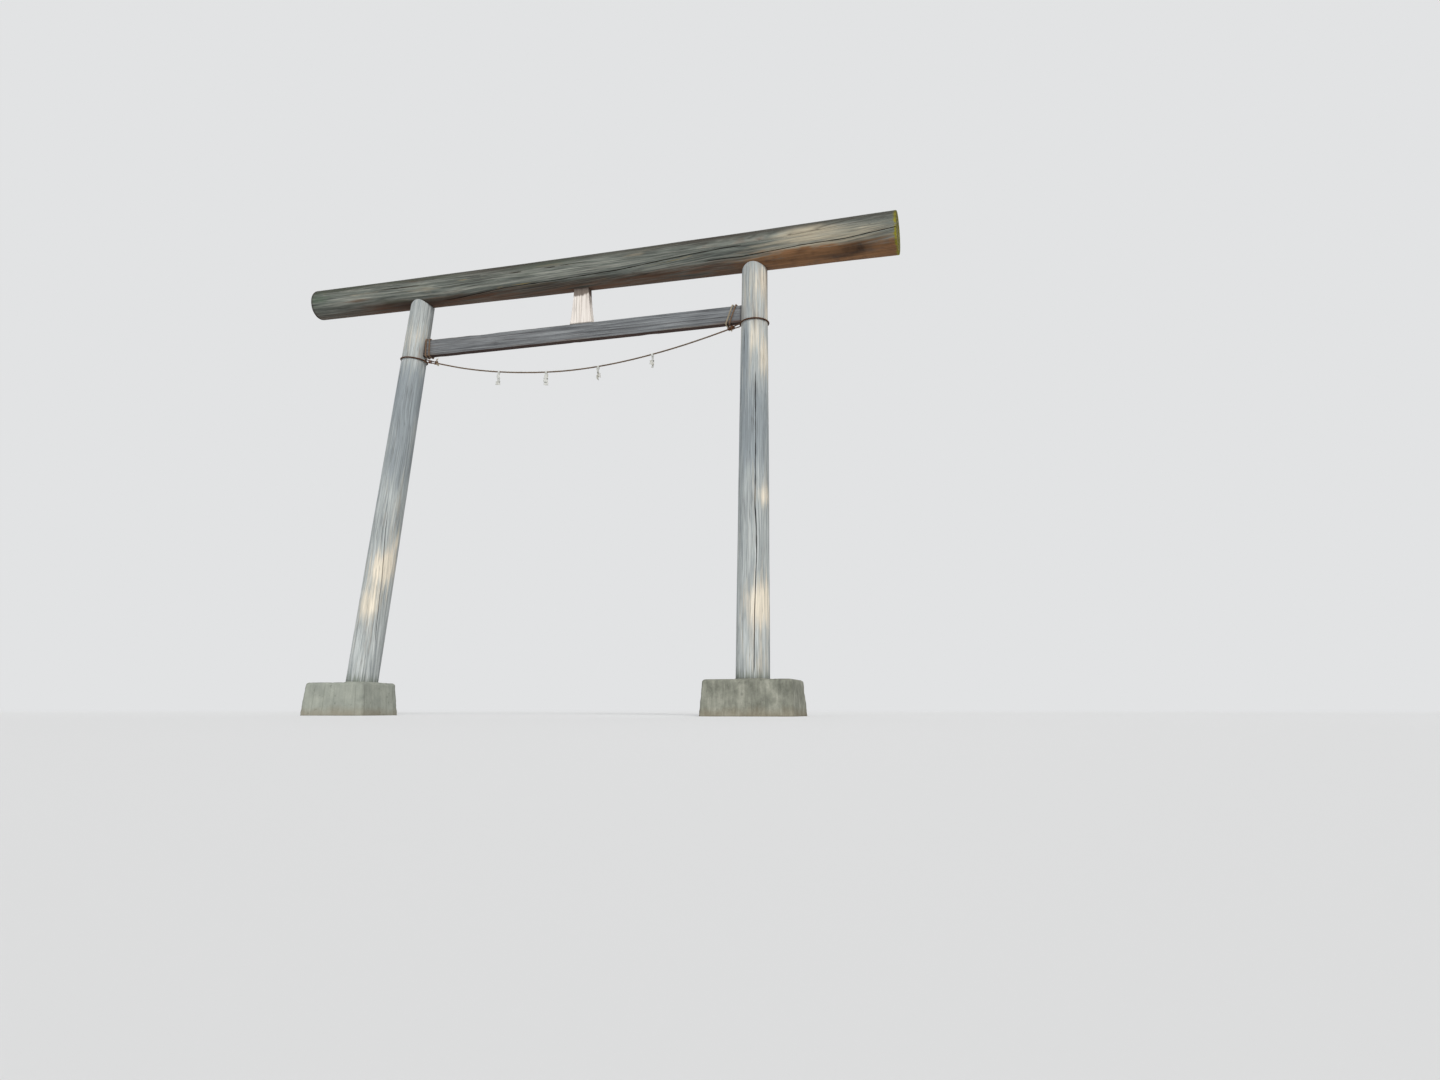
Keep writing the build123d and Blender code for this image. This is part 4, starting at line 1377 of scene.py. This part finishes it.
class GATE_OT_top_beam(Operator):
    """The log on top: tapered, checked, warm below, mossy at one end and lichened at the other"""

    bl_idname = "gate.top_beam"
    bl_label = "Top Beam"

    def execute(self, context):
        gate = context.scene.log_gate
        beam = gate.beam
        material = timber_material(
            "beam_timber_weathered", beam, extra_tones=("amber", "moss", "lichen"), end_grain=True)
        skin = 0.0024
        x, inset, shrink = self.make_rows(beam)
        radius = beam_radius(gate, x)[:, None]
        angles, columns, paths = log_columns(BEAM_CHECKS, x, beam.columns, float(radius.mean()))
        grooves = check_grooves(BEAM_CHECKS, paths, x, angles, radius, 300)
        x = x[:, None]
        grain = round_grain(radius * shrink, columns, x)
        # The side is the log's radius with two noises on it, less the worn edges and the drying
        # checks. On the sawn faces noise and checks run along X instead.
        uneven = 0.0026 * layered_noise(grain, (6, 6, 1.1), 310, layers=2)
        ridges = 0.0011 * layered_noise(grain, (55, 55, 1.9), 320, layers=2)
        relief = np.minimum(uneven + ridges, 0.0022)
        on_face = shrink < 1
        shell = (radius - skin + relief - inset - np.where(on_face, 0, grooves)) * shrink
        points = beam_points(gate, x, shell, angles)
        inward = np.where(x < 0, 1.0, -1.0)
        sawn = 0.0008 + 0.0016 * np.abs(layered_noise(grain, (40, 40, 1), 330, layers=2))
        points[..., 0] += np.where(on_face, inward * (sawn + 0.7 * grooves * shrink), 0)
        points[..., 0] = np.clip(points[..., 0], BEAM_LOW.x, BEAM_HIGH.x)
        degrees = degrees_round(angles)
        below = -np.sin(angles)
        blotch = layered_noise(grain, (5, 5, 0.9), 340)
        flecks = layered_noise(grain, (24, 24, 24), 345)
        right_end = smooth_step(0.9, 1.7, x)
        left_face = smooth_step(-2.25, -2.40, x)
        butt_face = smooth_step(2.375, 2.40, x)
        masks = {
            "warm": smooth_step(0.42, 0.98, below + 0.2 * blotch)
            * (0.72 - 0.30 * smooth_step(-1.8, -2.3, x)),
            "amber": right_end * (smooth_step(0.28, 0.80, below + 0.35 * blotch)
                                  - 0.30 * np.clip(flecks + blotch, 0, 1)),
            "pale": 0.20 * right_end * spot(degrees, -4, 34) + 0.30 * blotch,
            "moss": 0.26 * smooth_step(-1.3, -2.3, x) * smooth_step(0.95, 0.2, below)
            + 0.2 * left_face
            + 0.10 * smooth_step(0.9, -0.9, x) * smooth_step(0.6, 0.0, below)
            + 0.50 * smooth_step(-0.1, -0.85, below) + 0.4 * blotch + 0.34 * butt_face,
            "lichen": butt_face * (0.62 + 0.20 * smooth_step(0.6, 1.0, shrink) + 1.3 * flecks)
            + 0.3 * smooth_step(2.33, 2.40, x),
            # Painted shade: darker on the underside away from the butt, and on the top; the other
            # terms darken the sawn faces, the rim at the thin end and stains at the butt
            "dark": 0.34 * smooth_step(0.40, 0.95, below) * (1 - 0.6 * right_end)
            + 0.16 * smooth_step(-0.2, -0.8, below) + 0.26 * on_face
            + 0.62 * smooth_step(-2.376, -2.392, x) * ~on_face
            + (0.28 * smooth_step(4, 52, degrees) * (1 - 0.5 * smooth_step(100, 150, degrees))
               + 0.24 * spot(degrees, 44, 24)) * ~on_face
            + 0.3 * right_end * np.clip(flecks, 0, 1) * smooth_step(0.3, 0.6, below),
            "end": on_face,
        }
        add_patches(masks, BEAM_PATCHES, x, degrees + 40 * blotch)
        darken_checks(masks, grooves)
        make_piece(points, "top_beam_log", material, "beam_timber", "top_beam", grain=grain,
                   **masks)
        return {"FINISHED"}

    def make_rows(self, beam):
        """Places along X from one sawn face over both worn edges to the other face, how far each
        row lies inside the log's side, and the share of the radius that it keeps."""
        worn = np.linspace(0, math.pi / 2, 5)[1:]
        face = np.array([0.93, 0.84, 0.72, 0.58, 0.42, 0.25, 0.09])
        from_end = beam.edge * (1 - np.sin(worn))
        rounded = beam.edge * (1 - np.cos(worn))
        plain = np.linspace(beam.edge, BEAM_LENGTH - beam.edge, beam.rows)
        along = np.concatenate([
            0 * face, from_end[::-1], plain, BEAM_LENGTH - from_end, 0 * face + BEAM_LENGTH])
        edges = np.full(len(face), beam.edge)
        inset = np.concatenate([edges, rounded[::-1], 0 * plain, rounded, edges])
        shrink = np.concatenate([face[::-1], np.ones(len(plain) + 2 * len(worn)), face])
        return BEAM_LOW.x + along, inset[:, None], shrink[:, None]


def rounded_section(width, depth, corner, spacing):
    """Points round a rectangle with round corners, the direction outwards at each, and how near
    each is to a corner, from 0 to 1. Sides are divided evenly, and each corner in six."""
    points, outward, wear = [], [], []
    quarter = np.linspace(0, math.pi / 2, 7)
    signs = np.array([(1, 1), (-1, 1), (-1, -1), (1, -1)])
    centres = signs * (np.array([width, depth]) / 2 - corner)
    for turn, (centre, following) in enumerate(zip(centres, np.roll(centres, -1, 0))):
        around = quarter + turn * math.pi / 2
        facing = np.stack([np.cos(around), np.sin(around)], -1)
        arc = centre + corner * facing
        side = following + corner * facing[-1] - arc[-1]
        span = np.linalg.norm(side)
        between = np.linspace(0, 1, max(3, int(span / spacing)) + 1)[1:-1, None]
        from_corner = np.minimum(between, 1 - between)[:, 0] * span
        points += [arc, arc[-1] + side * between]
        outward += [facing, np.repeat(facing[-1:], len(between), 0)]
        wear += [np.ones(len(arc)), spot(from_corner, 0, corner * 1.6)]
    return np.concatenate(points), np.concatenate(outward), np.concatenate(wear)


class GATE_OT_tie_beam(Operator):
    """The squared tie beam, weathered to a mauve grey, with worn edges and a brown underside in
    painted shade
    """

    bl_idname = "gate.tie_beam"
    bl_label = "Tie Beam"

    def execute(self, context):
        gate = context.scene.log_gate
        tie = gate.tie
        skin = 0.0006
        material = timber_material("tie_timber_weathered", tie, coarse=1.35)
        flat, facing, wear = rounded_section(
            TIE_HIGH.y - TIE_LOW.y, TIE_HIGH.z - TIE_LOW.z, tie.edge, tie.spacing)
        left, right = (post_face(gate, side, TIE_MIDDLE) for side in SIDES)
        x = np.linspace(left - tie.hidden_end, right + tie.hidden_end, tie.rows)[:, None]
        grain = points_from(flat[:, 0], flat[:, 1], x)
        ridges = 0.0007 * layered_noise(grain, (110, 110, 3.0), 410, layers=2)
        chips = np.clip(layered_noise(grain, (12, 12, 5), 420) - 0.12, 0, 1)
        relief = -skin + np.minimum(ridges, skin) - wear * (0.0008 + 0.008 * chips)
        # Each crack is a V on one face, and noise makes its middle wander
        cracks = np.zeros_like(relief)
        for face, height, start, end in TIE_CRACKS:
            wander = 0.006 * lattice_noise(points_from(x * 1.7, 0, height * 50), 430)
            near = np.clip(1 - np.abs(flat[:, 1] - height - wander) / 0.004, 0, 1)
            near = near * (np.sign(flat[:, 0]) == face) * (facing[:, 0] ** 2 > 0.5)
            opened = smooth_step(start, start + 0.2, x) * smooth_step(end, end - 0.2, x)
            relief = relief - 0.003 * near * opened
            cracks = np.maximum(cracks, near * opened)
        moved = flat + facing * relief[..., None]
        # The whole beam bows down in half a sine wave
        bow = 0.0012 * np.sin(math.pi * (x - x[0]) / (x[-1] - x[0]))
        points = points_from(x, moved[..., 0], TIE_MIDDLE + moved[..., 1] - bow)
        blotch = layered_noise(grain, (9, 9, 1.1), 440)
        from_post = np.minimum(x - left, right - x)
        masks = {
            "warm": smooth_step(0.2, 0.9, -facing[:, 1]) * 0.9
            + 0.25 * smooth_step(-0.02, -0.066, flat[:, 1])
            + 0.3 * spot(from_post, 0.0, 0.10) + 0.35 * blotch,
            "pale": 0.35 * wear + 0.5 * blotch + 0.25 * smooth_step(0.3, 0.9, facing[:, 1]),
            # Painted shade inside the cracks, where the beam goes into the posts and on the
            # underside
            "dark": np.maximum(0.8 * cracks, 0.6 * spot(from_post, -0.004, 0.010)
                               + 0.20 * smooth_step(1.0, -1.2, x)
                               + 0.35 * smooth_step(0.5, 1.0, -facing[:, 1])),
        }
        make_piece(points, "tie_beam_timber", material, "tie_timber", "tie_beam", grain=grain,
                   **masks)
        return {"FINISHED"}


class GATE_OT_strut(Operator):
    """The strut, flared to its foot in shallow hollow curves and cut to the round of the log"""

    bl_idname = "gate.strut"
    bl_label = "Strut"

    def execute(self, context):
        gate = context.scene.log_gate
        strut = gate.strut
        skin = 0.0005
        middle, low = strut.middle_x, TIE_HIGH.z
        material = timber_material("strut_timber_weathered", strut, coarse=1.3)
        foot_width = STRUT_HIGH.x - STRUT_LOW.x
        flat, facing, wear = rounded_section(
            foot_width, STRUT_HIGH.y - STRUT_LOW.y, strut.edge, strut.spacing)
        log_under = float(beam_height(gate, middle) - beam_radius(gate, middle))

        def log_over(x, y, sunk):
            """Heights of the log's underside, sunk into it by that much, over x and y."""
            return values_under_beam(
                gate, lambda z: points_from(x, y, z), x.shape, low + 0.1, log_under + 0.12, sunk)

        # The sides narrow evenly upwards, and curve in as a parabola on their way
        climb = np.linspace(0, 1, strut.rows)[:, None]
        narrow = 1 + (strut.top_width / foot_width - 1) * climb
        hollow = 4 * strut.hollow * climb * (1 - climb) / (foot_width / 2)
        across = flat[:, 0] * (narrow - hollow)
        tops = log_over(middle + across[-1], flat[:, 1], sunk=0.004)
        z = low - 0.001 + (tops - low) * climb
        grain = points_from(across, flat[:, 1], z)
        ridges = 0.0006 * layered_noise(grain, (120, 120, 5), 510, layers=2)
        chips = np.clip(layered_noise(grain, (30, 30, 12), 520, layers=2) - 0.1, 0, 1)
        relief = -skin + np.minimum(ridges, skin) - wear * (0.0006 + 0.005 * chips)
        body = points_from(
            middle + across + facing[:, 0] * relief, flat[:, 1] + facing[:, 1] * relief, z)
        shrink = np.array([0.8, 0.5, 0.2])[:, None]
        cap_x, cap_y = middle + across[-1] * shrink, flat[:, 1] * shrink
        cap = points_from(cap_x, cap_y, log_over(cap_x, cap_y, sunk=0.003))
        blotch = layered_noise(grain, (14, 14, 3), 530)
        from_top = tops - z
        # The head under the log is browner and carries the log's painted shadow; the dark mask is
        # painted shade in the seams with the log and the tie beam, on the head and on the +X face
        # under the log
        masks = {
            "warm": 1.2 * smooth_step(0.075, 0.035, from_top + 0.03 * blotch) + 0.3 * blotch,
            "pale": 0.35 * smooth_step(0.20, 0.02, z - low) + 0.4 * blotch,
            "dark": 0.45 * spot(from_top, 0.0, 0.010) + 0.35 * spot(z, low, 0.005)
            + 0.12 * smooth_step(0.075, 0.035, from_top)
            + 0.50 * smooth_step(0.5, 1.0, facing[:, 0]) * smooth_step(0.18, 0.08, from_top),
        }
        make_piece(np.concatenate([body, cap]), "strut_timber", material, "strut_timber", "strut",
                   grain=np.concatenate([grain, cap]), **with_cap(masks, len(cap)))
        return {"FINISHED"}


class GATE_OT_plinths(Operator):
    """The concrete blocks: board-marked sides, worn edges and a trowelled top round the post"""

    bl_idname = "gate.plinths"
    bl_label = "Plinths"

    def execute(self, context):
        gate = context.scene.log_gate
        material = concrete_material("concrete_cast", gate.plinths)
        for number, side in enumerate(SIDES):
            self.make_plinth(gate, side, 600 + 40 * number, material)
        return {"FINISHED"}

    def make_plinth(self, gate, side, seed, material):
        """Rows up the sides and over the worn edge, rings over the top to the post, and two rings
        underneath. Noise makes lumps, grit, pits and chips, each board of the mould steps in or
        out with a groove beside it, the top falls with the square of the way from the post, and a
        collar of mortar rises against the post as e to the minus of the power 1.5 of that way."""
        plinth = gate.plinths
        skin, worn_reach, trowelled_reach, joint_reach = 0.0046, 0.016, 0.018, 0.003
        low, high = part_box(f"{side}_plinth")
        width, depth, height = high.x - low.x, high.y - low.y, high.z - low.z
        middle = np.array([(low.x + high.x) / 2, (low.y + high.y) / 2])
        post_at = np.array([post_foot(gate, side)[0], 0.0]) - middle
        hole = gate.posts.foot_diameter / 2 - 0.006
        flat, facing, wear = rounded_section(width, depth, plinth.corner, plinth.spacing)
        sides, z = self.make_sides(plinth, flat, width, depth, height)
        rim = sides[-1]
        ring = post_at + unit(rim - post_at) * hole
        share_in = np.linspace(0, 1, int(0.16 / plinth.spacing))[1:, None, None] ** 0.9
        sections = np.concatenate([sides, rim + (ring - rim) * share_in])
        levels = np.append(z, np.full(len(share_in), height))[:, None]
        on_top = np.repeat([0.0, 1.0], [len(z), len(share_in)])[:, None]
        surface = points_from(sections[..., 0], sections[..., 1], levels)
        lumps = layered_noise(surface, (14, 14, 14), seed, layers=4)
        grit = layered_noise(surface, (75, 75, 75), seed + 10, layers=2)
        pits = np.clip(layered_noise(surface, (38, 38, 38), seed + 20, layers=2) - 0.34, 0, 1) * 5
        chips = np.clip(layered_noise(surface, (13, 13, 13), seed + 30) - 0.05, 0, 1)
        board = length_up_to(flat) / plinth.board_width
        draws = np.random.default_rng(seed).uniform(-1, 1, 64)
        joint = spot((board - np.round(board)) * plinth.board_width, 0, joint_reach)
        on_side = (1 - on_top) * smooth_step(height, height - 0.05, levels)
        boards = on_side * (0.0009 * draws[np.floor(board).astype(int) % 64] - 0.0016 * joint)
        inwards = np.linalg.norm(sections - rim, axis=-1) * on_top
        worn_edge = np.exp(
            -(((height - levels) / worn_reach) ** 2) - (inwards / worn_reach) ** 2)
        relief = -skin + np.minimum(plinth.roughness * lumps + 0.0010 * grit, 0.0044)
        relief = relief - 0.0016 * pits + boards
        relief = relief - (worn_edge + 0.5 * wear) * (1 - on_top) * 0.022 * chips
        from_post = np.linalg.norm(sections - post_at, axis=-1) - hole
        reach_out = np.linalg.norm(rim - post_at, axis=-1) - hole
        fall = 0.006 * (from_post / reach_out) ** 2 * (1 - worn_edge)
        collar = np.exp(-((np.maximum(from_post, 0) / trowelled_reach) ** 1.5))
        collar = plinth.collar * collar * on_top
        rim_relief = relief[len(z) - 1] * np.clip(1 - inwards / 0.07, 0, 1)
        moved = sections + facing * np.where(on_top > 0, rim_relief, relief)[..., None]
        heights = levels + on_top * ((relief - 0.002) * (1 - worn_edge) + collar - fall)
        heights = heights - worn_edge * (0.012 * chips + 0.003)
        heights = np.where(levels <= 0, 0, heights)
        points = np.concatenate([moved + middle, heights[..., None]], -1)
        centre = np.array([*middle, 0.0])
        bottom = points[:1] * np.array([1, 1, 0])
        underneath = centre + (bottom - centre) * np.array([0.3, 0.7])[:, None, None]
        masks = {
            "earth": smooth_step(0.12, -0.02, levels) * (1 - on_top),
            "pits": np.clip(pits + 0.8 * joint * on_side, 0, 1),
        }
        masks = {mask: np.concatenate([value[:1], value[:1], value])
                 for mask, value in masks.items()}
        # The left block gets the painted light tint
        make_piece(np.concatenate([underneath, points]), f"{side}_plinth_concrete", material,
                   "concrete", f"{side}_plinth", **masks, dry=float(side == "left"))

    def make_sides(self, plinth, flat, width, depth, height):
        """Sections up the sloping sides and over the worn edge, and the height of each."""
        side_rows = np.linspace(0, height - plinth.edge, int(height / plinth.spacing))
        turn = np.linspace(0, math.pi / 2, 8)[1:]
        z = np.append(side_rows, height - plinth.edge * (1 - np.sin(turn)))
        inset = np.append(0 * side_rows, plinth.edge * (1 - np.cos(turn)))
        inset = (inset + z * math.tan(plinth.batter))[:, None]
        return flat * (1 - 2 * inset / np.array([width, depth]))[:, None], z


class GATE_PT_panel(Panel):
    """Lists the gate's pieces in the sidebar"""

    bl_label = "Log Shrine Gate"
    bl_idname = "GATE_PT_panel"
    bl_space_type = "VIEW_3D"
    bl_region_type = "UI"
    bl_category = "Gate"

    def draw(self, context):
        for operator in OPERATORS:
            self.layout.operator(operator.bl_idname)


OPERATORS = (
    GATE_OT_stage,
    GATE_OT_streamers,
    GATE_OT_hanging_rope,
    GATE_OT_rope_ties,
    GATE_OT_posts,
    GATE_OT_top_beam,
    GATE_OT_tie_beam,
    GATE_OT_strut,
    GATE_OT_plinths,
)
CLASSES = (
    BeamSettings,
    PostSettings,
    TieSettings,
    StrutSettings,
    PlinthSettings,
    RopeSettings,
    PaperSettings,
    StageSettings,
    GateSettings,
    *OPERATORS,
    GATE_PT_panel,
)


def register():
    for kind in CLASSES:
        bpy.utils.register_class(kind)
    bpy.types.Scene.log_gate = PointerProperty(type=GateSettings)


def unregister():
    del bpy.types.Scene.log_gate
    for kind in reversed(CLASSES):
        bpy.utils.unregister_class(kind)


def main():
    register()
    gate = bpy.context.scene.log_gate
    rope_material("weathered_rope", gate.rope)
    paper_material("folded_paper", gate.paper)
    for operator in OPERATORS:
        family, name = operator.bl_idname.split(".")
        getattr(getattr(bpy.ops, family), name)()


if __name__ == "__main__":
    main()
